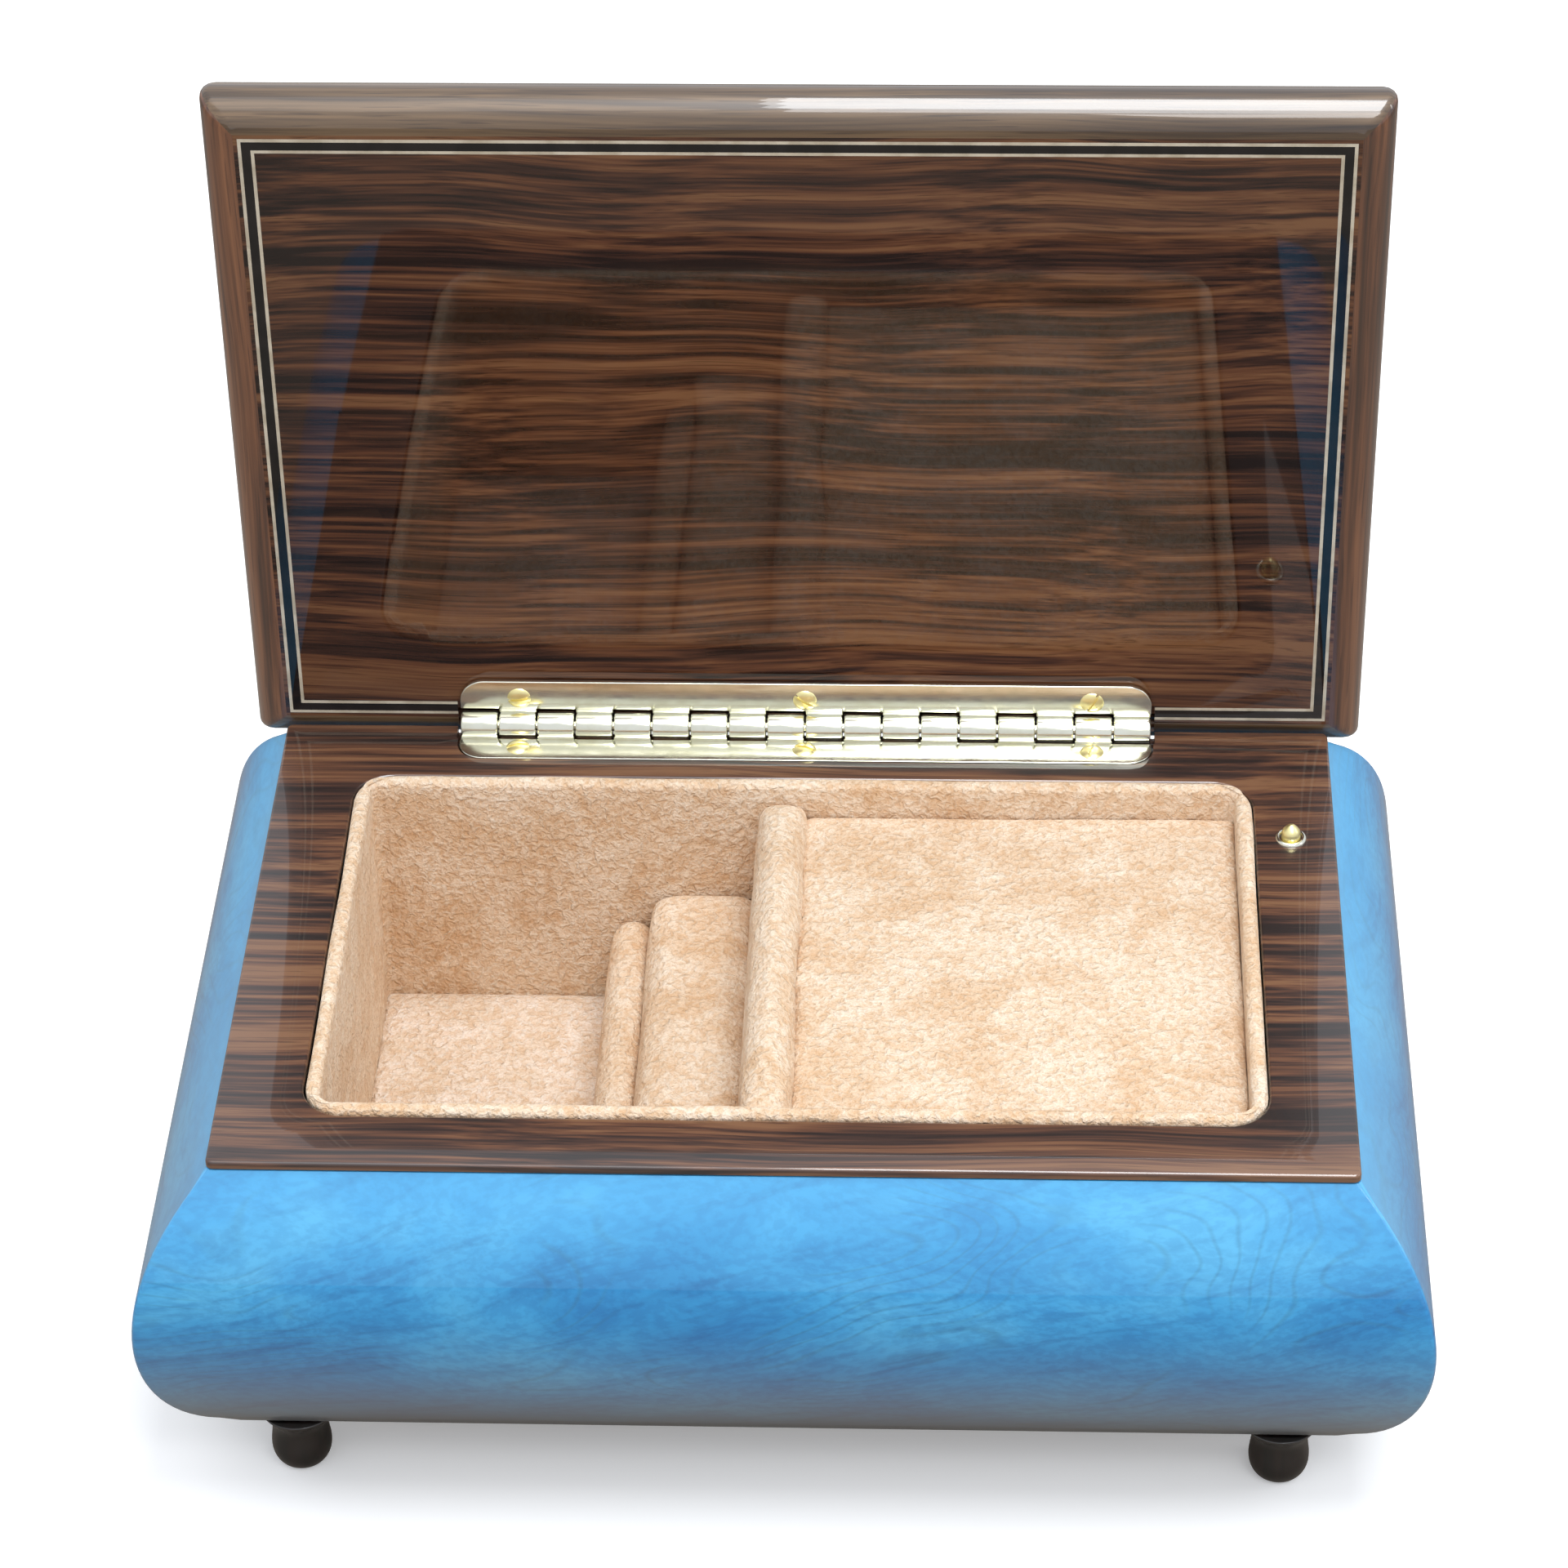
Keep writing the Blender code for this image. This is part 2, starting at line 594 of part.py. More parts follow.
def make_leaf(name, parent, side, first_knuckle, width, screw_line):
    """A hinge leaf; side is -1 for the leaf on the case and 1 for the leaf on the lid."""
    z_near = side * (AXIS_RISE - GAP)
    z_far = side * (AXIS_RISE - GAP - LEAF_THICKNESS)
    bm = boxes(
        (
            (-HINGE_HALF, -width, min(z_near, z_far)),
            (HINGE_HALF, -KNUCKLE_RADIUS - GAP, max(z_near, z_far)),
        )
    )
    outer = [e for e in upright_edges(bm) if e.verts[0].co.y < -width + GAP]
    bevel_edges(bm, outer, LEAF_CORNER, 5)
    leaf = make_object(name, bm, BRASS, parent=parent)
    rolled = bmesh.new()
    for index in range(first_knuckle, KNUCKLES, 2):
        knuckle_prism(rolled, -HINGE_HALF + index * KNUCKLE_PITCH + GAP / 2, side)
    weld_on(leaf, as_cutter(f"{name}_knuckles", rolled, parent))
    reach = HINGE_HALF + 1 * MM
    bore = rods(((-reach, 0, 0), (reach, 0, 0)), radius=PIN_RADIUS + GAP, sides=KNUCKLE_SIDES)
    cut(leaf, as_cutter(f"{name}_bore", bore, parent))
    holes = [((x, -screw_line, -3 * MM), (x, -screw_line, 3 * MM)) for x in LEAF_SCREWS_X]
    cut(leaf, as_cutter(f"{name}_screw_holes", rods(*holes, radius=SCREW_HEAD + GAP, sides=16), parent))
    shade_round(leaf)


def make_leaf_screw(name, parent, x, side, line):
    """A slotted countersunk screw; it stands in the leaf and reaches into the wood."""
    seat = AXIS_RISE - GAP / 2
    crown = AXIS_RISE - GAP - LEAF_THICKNESS - 0.05 * MM
    profile = [
        (0.0, -crown),
        (SCREW_HEAD - 0.4 * MM, -crown),
        (SCREW_HEAD, -crown - 0.2 * MM),
        (SCREW_HEAD, -seat),
        (SCREW_SHANK, -seat),
        (SCREW_SHANK, -seat - SCREW_DEPTH + 1 * MM),
        (0.0, -seat - SCREW_DEPTH),
    ]
    screw = turned(name, BRASS, profile, (x, -line, 0), parent, steps=16)
    if side > 0:
        screw.rotation_euler.x = math.pi
    low = (x - SCREW_HEAD - 1 * MM, -line - SCREW_SLOT / 2, side * crown - 0.3 * MM)
    high = (x + SCREW_HEAD + 1 * MM, -line + SCREW_SLOT / 2, side * crown + 0.3 * MM)
    cut(screw, as_cutter(f"{name}_slot", boxes((low, high)), parent))


make_leaf("hinge_lower_leaf", case_axis, -1, 0, LOWER_LEAF_WIDTH, LOWER_SCREW_LINE)
make_leaf("hinge_upper_leaf", lid_axis, 1, 1, UPPER_LEAF_WIDTH, UPPER_SCREW_LINE)
for number, screw_x in enumerate(LEAF_SCREWS_X, 1):
    make_leaf_screw(f"hinge_screw_lower_{number}", case_axis, screw_x, -1, LOWER_SCREW_LINE)
    make_leaf_screw(f"hinge_screw_upper_{number}", lid_axis, screw_x, 1, UPPER_SCREW_LINE)
pin = make_object(
    "hinge_pin",
    rods(((-HINGE_HALF + GAP, 0, 0), (HINGE_HALF - GAP, 0, 0)), radius=PIN_RADIUS, sides=12),
    BRASS,
    parent=case_axis,
)
shade_round(pin)


def string_ring(name, inset, width, low, high, parent):
    """A rectangular band that runs round the lid at a set distance from its edge, up to the hinge."""
    half = LID_WIDTH / 2 - inset
    front = -LID_FRONT + inset
    rear = LID_REAR - inset
    obj = make_object(name, boxes(((-half, front, low), (half, rear, high))), STRINGING, parent=parent)
    inner = boxes(((-half + width, front + width, low - 1 * MM), (half - width, rear - width, high + 1 * MM)))
    cut(obj, as_cutter(f"{name}_inside", inner, parent))
    reach = HINGE_HALF + 2 * GAP
    hinge_room = boxes(((-reach, -4 * MM, low - 2 * MM), (reach, 2 * MM, high + 2 * MM)))
    cut(obj, as_cutter(f"{name}_hinge_room", hinge_room, parent))
    return obj


def make_lid():
    """The lid, modelled closed about the hinge axis and turned open by its parent."""
    face = AXIS_RISE
    bm = boxes(((-LID_WIDTH / 2, -LID_FRONT, face), (LID_WIDTH / 2, LID_REAR, face + LID_THICKNESS)))
    bevel_edges(bm, list(bm.edges), LID_ROUNDING, 5)
    lid = make_object("lid_panel", bm, ROSEWOOD, parent=lid_axis)
    depth = face + STRING_DEPTH
    string_ring("lid_stringing", STRING_INSET, STRING_WIDTH, face, depth, lid_axis)
    groove = string_ring(
        "string_groove",
        STRING_INSET - GAP / 2,
        STRING_WIDTH + GAP,
        face - 1 * MM,
        depth + GAP,
        lid_axis,
    )
    PARTS.objects.unlink(groove)
    CUTTERS.objects.link(groove)
    groove.hide_render = True
    groove.display_type = "WIRE"
    cut(lid, groove)
    reach = HINGE_HALF + 2 * GAP
    trough = rods(((-reach, 0, 0), (reach, 0, 0)), radius=KNUCKLE_RADIUS + 1.5 * GAP)
    cut(lid, as_cutter("lid_hinge_groove", trough, lid_axis))
    line = -UPPER_SCREW_LINE
    holes = [((x, line, 0), (x, line, face + SCREW_DEPTH + 1 * MM)) for x in LEAF_SCREWS_X]
    cut(lid, as_cutter("lid_screw_holes", rods(*holes, radius=SCREW_SHANK + GAP, sides=10), lid_axis))
    shade_round(lid)


make_lid()


# ---- the stop pin, its bush and its lever ----
turned(
    "stop_pin_bush",
    BRASS,
    [
        (STOP_RADIUS + GAP, 0.5 * MM),
        (BUSH_RADIUS - 0.5 * MM, 0.5 * MM),
        (BUSH_RADIUS, 0.1 * MM),
        (BUSH_RADIUS, -BUSH_DEPTH),
        (STOP_RADIUS + GAP, -BUSH_DEPTH),
    ],
    (STOP_X, STOP_Y, TOP_Z),
    closed=True,
)
PIN_BOTTOM = LEVER_Z + LEVER_HALF + GAP - TOP_Z
turned(
    "stop_pin",
    BRASS,
    [
        (0.0, STOP_TIP),
        (0.5 * MM, STOP_TIP - 0.1 * MM),
        (STOP_RADIUS, STOP_TIP - 1.3 * MM),
        (STOP_RADIUS, PIN_BOTTOM + 0.6 * MM),
        (STOP_RADIUS - 0.6 * MM, PIN_BOTTOM),
        (0.0, PIN_BOTTOM),
    ],
    (STOP_X, STOP_Y, TOP_Z),
)

ARM_X = (65.3 * MM, 66.9 * MM)
lever = make_object(
    "stop_lever",
    boxes(
        (
            (ARM_X[0] - LEVER_PIVOT_X, -1.2 * MM, -LEVER_HALF),
            (STOP_X + 2 * MM - LEVER_PIVOT_X, 1.2 * MM, LEVER_HALF),
        )
    ),
    STEEL,
    (LEVER_PIVOT_X, STOP_Y, LEVER_Z),
)
arm = boxes(
    (
        (ARM_X[0] - LEVER_PIVOT_X, FLY_Y - STOP_Y - 1 * MM, -LEVER_HALF + 0.1 * MM),
        (ARM_X[1] - LEVER_PIVOT_X, 0.5 * MM, LEVER_HALF - 0.1 * MM),
    )
)
weld_on(lever, as_cutter("lever_arm", arm, where=(LEVER_PIVOT_X, STOP_Y, LEVER_Z)))
eye = rods(((0, -2 * MM, 0), (0, 2 * MM, 0)), radius=LEVER_PIN_RADIUS + GAP / 2, sides=10)
boss = rods(((0, -1.2 * MM, 0), (0, 1.2 * MM, 0)), radius=1.9 * MM, sides=14)
weld_on(lever, as_cutter("lever_boss", boss, where=(LEVER_PIVOT_X, STOP_Y, LEVER_Z)))
cut(lever, as_cutter("lever_eye", eye, where=(LEVER_PIVOT_X, STOP_Y, LEVER_Z)))

POST_Y = STOP_Y - 4.2 * MM
post = make_object(
    "lever_post",
    boxes(
        (
            (LEVER_PIVOT_X - 2.4 * MM, POST_Y, BED_TOP + GAP),
            (LEVER_PIVOT_X + 1.2 * MM, POST_Y + 2 * MM, LEVER_Z + 1.5 * MM),
        )
    ),
    BRASS,
)
pivot = rods(
    ((LEVER_PIVOT_X, POST_Y + 1 * MM, LEVER_Z), (LEVER_PIVOT_X, STOP_Y + 2 * MM, LEVER_Z)),
    radius=LEVER_PIN_RADIUS - GAP / 2,
    sides=10,
)
weld_on(post, as_cutter("lever_pivot", pivot))


# ---- the movement ----
def make_bedplate():
    bm = rounded_plate((BED_X[0], BED_Y[0], BED_BOTTOM), (BED_X[1], BED_Y[1], BED_TOP), 2 * MM, 2)
    bed = make_object("bedplate", bm, BRASS)
    below = BED_BOTTOM - 1 * MM
    above = BED_TOP + 1 * MM
    arbor_hole = rods(((BARREL_X, SHAFT_Y, below), (BARREL_X, SHAFT_Y, above)), radius=ARBOR_RADIUS + GAP)
    cut(bed, as_cutter("bed_arbor_hole", arbor_hole))
    holes = [((x, y, below), (x, y, above)) for x, y in MOVEMENT_SCREWS]
    cut(bed, as_cutter("bed_screw_holes", rods(*holes, radius=SCREW_SHANK + GAP, sides=10)))


def make_cheese_screw(name, where, depth, mat=STEEL):
    """A slotted screw with a flat round head."""
    profile = [
        (0.0, 1.6 * MM),
        (SCREW_HEAD, 1.6 * MM),
        (SCREW_HEAD, GAP),
        (SCREW_SHANK, GAP),
        (SCREW_SHANK, -depth),
        (0.0, -depth),
    ]
    screw = turned(name, mat, profile, where, steps=14)
    low = (where[0] - 4 * MM, where[1] - SCREW_SLOT / 2, where[2] + 1.1 * MM)
    high = (where[0] + 4 * MM, where[1] + SCREW_SLOT / 2, where[2] + 2.1 * MM)
    cut(screw, as_cutter(f"{name}_slot", boxes((low, high))))


make_bedplate()
for number, (screw_x, screw_y) in enumerate(MOVEMENT_SCREWS, 1):
    make_cheese_screw(f"movement_screw_{number}", (screw_x, screw_y, BED_TOP), 5.5 * MM)


def make_spring_barrel():
    """The spring drum: a hollow turned drum with a toothed crown on its upper rim."""
    top = DRUM_HEIGHT + CROWN_HEIGHT
    bore = ARBOR_RADIUS + GAP
    wall = 1.0 * MM
    crown_inner = DRUM_RADIUS - 2.2 * MM
    profile = [
        (crown_inner, top),
        (DRUM_RADIUS, top),
        (DRUM_RADIUS, 0.0),
        (bore, 0.0),
        (bore, wall),
        (DRUM_RADIUS - wall, wall),
        (DRUM_RADIUS - wall, DRUM_HEIGHT - wall),
        (bore, DRUM_HEIGHT - wall),
        (bore, DRUM_HEIGHT),
        (crown_inner, DRUM_HEIGHT),
    ]
    where = (BARREL_X, SHAFT_Y, DRUM_BOTTOM)
    drum = turned("spring_barrel", BRASS, profile, where, closed=True, steps=24)
    gaps = bmesh.new()
    half_slot = math.pi * DRUM_RADIUS / CROWN_TEETH / 2
    for tooth in range(CROWN_TEETH):
        turn = Matrix.Rotation(2 * math.pi * tooth / CROWN_TEETH, 4, "Z")
        verts = add_box(
            gaps,
            (crown_inner - 0.5 * MM, -half_slot, DRUM_HEIGHT + 0.2 * MM),
            (DRUM_RADIUS + 1 * MM, half_slot, top + 1 * MM),
        )
        bmesh.ops.transform(gaps, matrix=turn, verts=verts)
    cut(drum, as_cutter("crown_gaps", gaps, where=where))


def make_winding():
    """The arbor inside the drum and the wing key below the box, which turn together."""
    where = (BARREL_X, SHAFT_Y, 0)
    top = CROWN_TOP + 3.2 * MM
    arbor_profile = [
        (0.0, top),
        (1.4 * MM, top),
        (1.4 * MM, CROWN_TOP + 1.0 * MM),
        (ARBOR_RADIUS, CROWN_TOP + 0.6 * MM),
        (ARBOR_RADIUS, 8.2 * MM),
        (0.0, 8.2 * MM),
    ]
    turned("winding_arbor", STEEL, arbor_profile, where, steps=16)
    wing = boxes(((-KEY_HALF_WIDTH, -KEY_THICKNESS / 2, KEY_LOW), (KEY_HALF_WIDTH, KEY_THICKNESS / 2, 7.4 * MM)))
    across = [e for e in wing.edges if abs(e.verts[0].co.y - e.verts[1].co.y) > KEY_THICKNESS / 2]
    bevel_edges(wing, across, 2.6 * MM, 4)
    key = make_object("winding_key", wing, BRASS, where)
    hub = rods(((0, 0, 5.5 * MM), (0, 0, 11.6 * MM)), radius=3.6 * MM, sides=20)
    weld_on(key, as_cutter("key_hub", hub, where=where))
    socket = rods(((0, 0, 7.9 * MM), (0, 0, 13 * MM)), radius=ARBOR_RADIUS + GAP, sides=16)
    cut(key, as_cutter("key_socket", socket, where=where))


make_spring_barrel()
make_winding()

BRIDGE_LEG = DRUM_RADIUS + 2 * MM
BRIDGE_LOW = CROWN_TOP + 1.5 * MM
EAR_X = (30 * MM, 32 * MM)
bridge = make_object(
    "barrel_bridge",
    boxes(
        (
            (BARREL_X - 4 * MM, SHAFT_Y - BRIDGE_LEG - 3 * MM, BRIDGE_LOW),
            (EAR_X[1], SHAFT_Y + BRIDGE_LEG + 3 * MM, BRIDGE_LOW + 2 * MM),
        )
    ),
    BRASS,
)
legs = boxes(
    (
        (BARREL_X - 3 * MM, SHAFT_Y - BRIDGE_LEG - 2.9 * MM, BED_TOP + GAP),
        (BARREL_X + 3 * MM, SHAFT_Y - BRIDGE_LEG, BRIDGE_LOW + 1 * MM),
    ),
    (
        (BARREL_X - 3 * MM, SHAFT_Y + BRIDGE_LEG, BED_TOP + GAP),
        (BARREL_X + 3 * MM, SHAFT_Y + BRIDGE_LEG + 2.9 * MM, BRIDGE_LOW + 1 * MM),
    ),
    (
        (EAR_X[0], SHAFT_Y - 4 * MM, BRIDGE_LOW + 1 * MM),
        (EAR_X[1] - 0.1 * MM, SHAFT_Y + 4 * MM, SHAFT_Z + 3.5 * MM),
    ),
)
weld_on(bridge, as_cutter("bridge_legs", legs))
arbor_bore = rods(
    ((BARREL_X, SHAFT_Y, BRIDGE_LOW - 1 * MM), (BARREL_X, SHAFT_Y, BRIDGE_LOW + 3 * MM)),
    radius=1.4 * MM + GAP,
    sides=14,
)
cut(bridge, as_cutter("bridge_arbor_bore", arbor_bore))
shaft_bore = rods(
    ((EAR_X[0] - 1 * MM, SHAFT_Y, SHAFT_Z), (EAR_X[1] + 1 * MM, SHAFT_Y, SHAFT_Z)),
    radius=SHAFT_RADIUS + GAP,
    sides=14,
)
cut(bridge, as_cutter("bridge_shaft_bore", shaft_bore))


def make_cylinder():
    """The pinned cylinder on its shaft, with the pinion it is driven by and the wheel it drives."""
    where = (0, SHAFT_Y, SHAFT_Z)
    bm = bmesh.new()
    add_rod(bm, (CYLINDER_X[0], 0, 0), (CYLINDER_X[1], 0, 0), CYLINDER_RADIUS, 24)
    cylinder = make_object("cylinder", bm, BRASS, where)
    pins = bmesh.new()
    pitch = (CYLINDER_X[1] - CYLINDER_X[0]) / NOTES
    for note in range(NOTES):
        x = CYLINDER_X[0] + pitch * (note + 0.5)
        angle = math.radians(note * PIN_STEP_DEG)
        out = Vector((0, math.cos(angle), math.sin(angle)))
        foot = Vector((x, 0, 0)) + out * (CYLINDER_RADIUS - 1 * MM)
        head = Vector((x, 0, 0)) + out * (CYLINDER_RADIUS + CYLINDER_PIN_HEIGHT)
        add_rod(pins, foot, head, CYLINDER_PIN_RADIUS, 5)
    weld_on(cylinder, as_cutter("cylinder_pins", pins, where=where))
    bore = rods(
        ((CYLINDER_X[0] - 1 * MM, 0, 0), (CYLINDER_X[1] + 1 * MM, 0, 0)),
        radius=SHAFT_RADIUS + GAP,
        sides=14,
    )
    cut(cylinder, as_cutter("cylinder_bore", bore, where=where))
    shade_round(cylinder)

    shaft = bmesh.new()
    add_rod(shaft, (EAR_X[0] + 0.2 * MM, 0, 0), (BRACKET_X[1] - 0.2 * MM, 0, 0), SHAFT_RADIUS, 14)
    arbor = make_object("cylinder_shaft", shaft, STEEL, where)
    pinion = bmesh.new()
    pinion_mid = BARREL_X + DRUM_RADIUS - 1.1 * MM
    toothed_disc(pinion, (pinion_mid - 1 * MM, pinion_mid + 1 * MM), (0, 0), PINION_RADIUS, PINION_TEETH, 1 * MM)
    weld_on(arbor, as_cutter("cylinder_pinion", pinion, where=where))
    wheel = bmesh.new()
    toothed_disc(wheel, WHEEL_X, (0, 0), WHEEL_RADIUS, WHEEL_TEETH, 0.9 * MM)
    weld_on(arbor, as_cutter("cylinder_wheel", wheel, where=where))


def make_comb():
    """The tuned comb, one tooth for each note, on its base block."""
    tip = SHAFT_Y - CYLINDER_RADIUS - CYLINDER_PIN_HEIGHT - COMB_TIP_GAP
    root = tip - COMB_TOOTH_LENGTH
    back = root - COMB_BACK
    low = SHAFT_Z - COMB_THICKNESS / 2
    high = SHAFT_Z + COMB_THICKNESS / 2
    comb = make_object(
        "comb",
        boxes(((CYLINDER_X[0], back, low), (CYLINDER_X[1], tip, high))),
        BLUED_STEEL,
    )
    pitch = (CYLINDER_X[1] - CYLINDER_X[0]) / NOTES
    slots = bmesh.new()
    for note in range(1, NOTES):
        x = CYLINDER_X[0] + pitch * note
        add_box(
            slots,
            (x - COMB_SLOT / 2, root, low - 1 * MM),
            (x + COMB_SLOT / 2, tip + 1 * MM, high + 1 * MM),
        )
    cut(comb, as_cutter("comb_slots", slots))
    base = make_object(
        "comb_base",
        boxes(((CYLINDER_X[0], back, BED_TOP + GAP), (CYLINDER_X[1], root - 1 * MM, low - GAP))),
        BRASS,
    )
    line = (back + root) / 2 - 0.5 * MM
    spots = [CYLINDER_X[0] + 5 * MM, CYLINDER_X[1] - 5 * MM]
    holes = [((x, line, low - 6 * MM), (x, line, high + 1 * MM)) for x in spots]
    comb_holes = as_cutter("comb_screw_holes", rods(*holes, radius=SCREW_SHANK + GAP, sides=10))
    cut(comb, comb_holes)
    cut(base, comb_holes)
    for number, x in enumerate(spots, 1):
        make_cheese_screw(f"comb_screw_{number}", (x, line, high), 5 * MM)


def make_governor():
    """The brake train: a small wheel driven by the cylinder, and the fly that it spins."""
    bracket = make_object(
        "cylinder_bracket",
        boxes(
            (
                (BRACKET_X[0], SHAFT_Y - 5 * MM, BED_TOP + GAP),
                (BRACKET_X[1], GOVERNOR_Y + 4 * MM, SHAFT_Z + 4 * MM),
            )
        ),
        BRASS,
    )
    bores = rods(
        ((BRACKET_X[0] - 1 * MM, SHAFT_Y, SHAFT_Z), (BRACKET_X[1] + 1 * MM, SHAFT_Y, SHAFT_Z)),
        ((BRACKET_X[0] - 1 * MM, GOVERNOR_Y, SHAFT_Z), (BRACKET_X[1] + 1 * MM, GOVERNOR_Y, SHAFT_Z)),
        radius=SHAFT_RADIUS + GAP,
        sides=14,
    )
    cut(bracket, as_cutter("bracket_bores", bores))

    where = (0, GOVERNOR_Y, SHAFT_Z)
    shaft = bmesh.new()
    add_rod(shaft, (GOVERNOR_WHEEL_X[0] - 1 * MM, 0, 0), (BRACKET_X[1] - 0.2 * MM, 0, 0), SHAFT_RADIUS, 14)
    wheel_shaft = make_object("governor_wheel", shaft, STEEL, where)
    small = bmesh.new()
    toothed_disc(small, WHEEL_X, (0, 0), GOVERNOR_PINION_RADIUS, 10, 0.7 * MM)
    weld_on(wheel_shaft, as_cutter("governor_pinion", small, where=where))
    large = bmesh.new()
    toothed_disc(large, GOVERNOR_WHEEL_X, (0, 0), GOVERNOR_WHEEL_RADIUS, 14, 0.8 * MM)
    weld_on(wheel_shaft, as_cutter("governor_worm_wheel", large, where=where))

    low = BED_TOP + 2.6 * MM
    where = (FLY_X, FLY_Y, 0)
    fly = turned(
        "governor_fly",
        STEEL,
        [
            (0.0, FLY_TOP),
            (0.7 * MM, FLY_TOP),
            (0.7 * MM, SHAFT_Z + 5 * MM),
            (1.1 * MM, SHAFT_Z + 4 * MM),
            (1.1 * MM, SHAFT_Z - 4 * MM),
            (0.7 * MM, SHAFT_Z - 5 * MM),
            (0.7 * MM, low),
            (0.0, low),
        ],
        where,
        steps=12,
    )
    vane = boxes(((-FLY_RADIUS, -0.4 * MM, SHAFT_Z + 6 * MM), (FLY_RADIUS, 0.4 * MM, SHAFT_Z + 10.5 * MM)))
    weld_on(fly, as_cutter("fly_vane", vane, where=where))

    post_y = FLY_Y + FLY_RADIUS + 0.8 * MM
    arm_half = 2.5 * MM
    frame = make_object(
        "governor_frame",
        boxes(((FLY_X - arm_half, post_y, BED_TOP + GAP), (FLY_X + arm_half, post_y + 2 * MM, FLY_TOP + 0.6 * MM))),
        BRASS,
    )
    top_low = FLY_TOP - 1.2 * MM
    arms = boxes(
        (
            (FLY_X - arm_half + 0.1 * MM, FLY_Y - 2.5 * MM, top_low),
            (FLY_X + arm_half - 0.1 * MM, post_y + 1 * MM, FLY_TOP + 0.5 * MM),
        ),
        (
            (FLY_X - arm_half + 0.1 * MM, FLY_Y - 2.5 * MM, BED_TOP + 2 * GAP),
            (FLY_X + arm_half - 0.1 * MM, post_y + 1 * MM, low + 1.2 * MM),
        ),
    )
    weld_on(frame, as_cutter("governor_arms", arms))
    bores = rods(
        ((FLY_X, FLY_Y, top_low - 1 * MM), (FLY_X, FLY_Y, FLY_TOP + 2 * MM)),
        ((FLY_X, FLY_Y, low - GAP), (FLY_X, FLY_Y, low + 2 * MM)),
        radius=0.7 * MM + GAP,
        sides=12,
    )
    cut(frame, as_cutter("governor_bores", bores))


make_cylinder()
make_comb()
make_governor()
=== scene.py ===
# %% [markdown]
# # A cylinder music box with curved blue sides
# The real object is a small table box: dyed burl veneer on sides that curve outward, a rosewood rim and lid
# under mirror lacquer, a brass piano hinge, and a jewel tray lined with beige velvet.
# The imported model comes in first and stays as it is. Smooth pieces are then built round it, in metres and in
# its own frame, so that each one goes where the model says.

# %% Load the model as a fixed frame
import json
import math

import bmesh
import bpy
from mathutils import Matrix, Vector, noise

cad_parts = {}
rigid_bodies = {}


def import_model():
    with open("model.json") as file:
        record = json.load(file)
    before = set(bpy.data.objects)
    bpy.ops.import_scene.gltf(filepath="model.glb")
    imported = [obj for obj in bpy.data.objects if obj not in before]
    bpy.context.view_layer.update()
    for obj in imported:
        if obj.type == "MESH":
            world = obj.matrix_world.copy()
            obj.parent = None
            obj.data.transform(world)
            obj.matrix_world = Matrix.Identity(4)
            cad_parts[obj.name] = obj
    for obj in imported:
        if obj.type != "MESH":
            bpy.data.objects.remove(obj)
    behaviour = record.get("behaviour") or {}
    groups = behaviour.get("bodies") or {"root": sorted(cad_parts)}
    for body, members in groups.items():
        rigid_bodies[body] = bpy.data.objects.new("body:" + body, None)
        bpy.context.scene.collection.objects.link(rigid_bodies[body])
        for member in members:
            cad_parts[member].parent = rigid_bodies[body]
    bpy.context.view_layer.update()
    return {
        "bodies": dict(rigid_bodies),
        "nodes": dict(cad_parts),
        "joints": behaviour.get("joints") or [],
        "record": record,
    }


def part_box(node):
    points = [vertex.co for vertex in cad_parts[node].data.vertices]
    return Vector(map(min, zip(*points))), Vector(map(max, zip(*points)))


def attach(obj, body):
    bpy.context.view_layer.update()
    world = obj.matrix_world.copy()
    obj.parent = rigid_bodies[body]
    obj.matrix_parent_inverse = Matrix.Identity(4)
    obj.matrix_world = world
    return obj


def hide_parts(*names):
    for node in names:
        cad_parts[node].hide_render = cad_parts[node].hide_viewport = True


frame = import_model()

MM = 0.001
NODES = frame["nodes"]

# %% [markdown]
# ## The camera
# A long lens about 0.9 metres away looks down on the open box, a touch from the right. The camera's matrix is
# written as a place and three turns: first upright, then rolled, pitched down and turned about the upright axis.

# %% Camera
CAMERA_PLACE = Vector((31.479, -650.035, 598.186)) * MM
CAMERA_DOWN = math.radians(37.434)
CAMERA_TURN = math.radians(2.866)
CAMERA_ROLL = math.radians(1.215)
CAMERA_LENS = 117.295


def aim_camera():
    lens = bpy.data.cameras.new("long_lens")
    lens.sensor_fit = "HORIZONTAL"
    lens.sensor_width = 36.0
    lens.lens = CAMERA_LENS
    camera = bpy.data.objects.new("camera", lens)
    bpy.context.scene.collection.objects.link(camera)
    camera.matrix_world = (
        Matrix.Translation(CAMERA_PLACE)
        @ Matrix.Rotation(CAMERA_TURN, 4, "Z")
        @ Matrix.Rotation(-CAMERA_DOWN, 4, "X")
        @ Matrix.Rotation(CAMERA_ROLL, 4, "Y")
        @ Matrix.Rotation(math.radians(90), 4, "X")
    )
    bpy.context.scene.camera = camera
    return camera


print("camera at", tuple(round(c, 3) for c in aim_camera().location))

# %% [markdown]
# ## Sums on shader sockets
# A finish is a chain of nodes, and most of the chain is arithmetic. A small class that wraps one socket lets that
# arithmetic be written as Python sums: each + or * adds a Math node. Every other node comes from one method, which
# sets the node's own settings before it fills its sockets, because some sockets only exist after a setting is made.


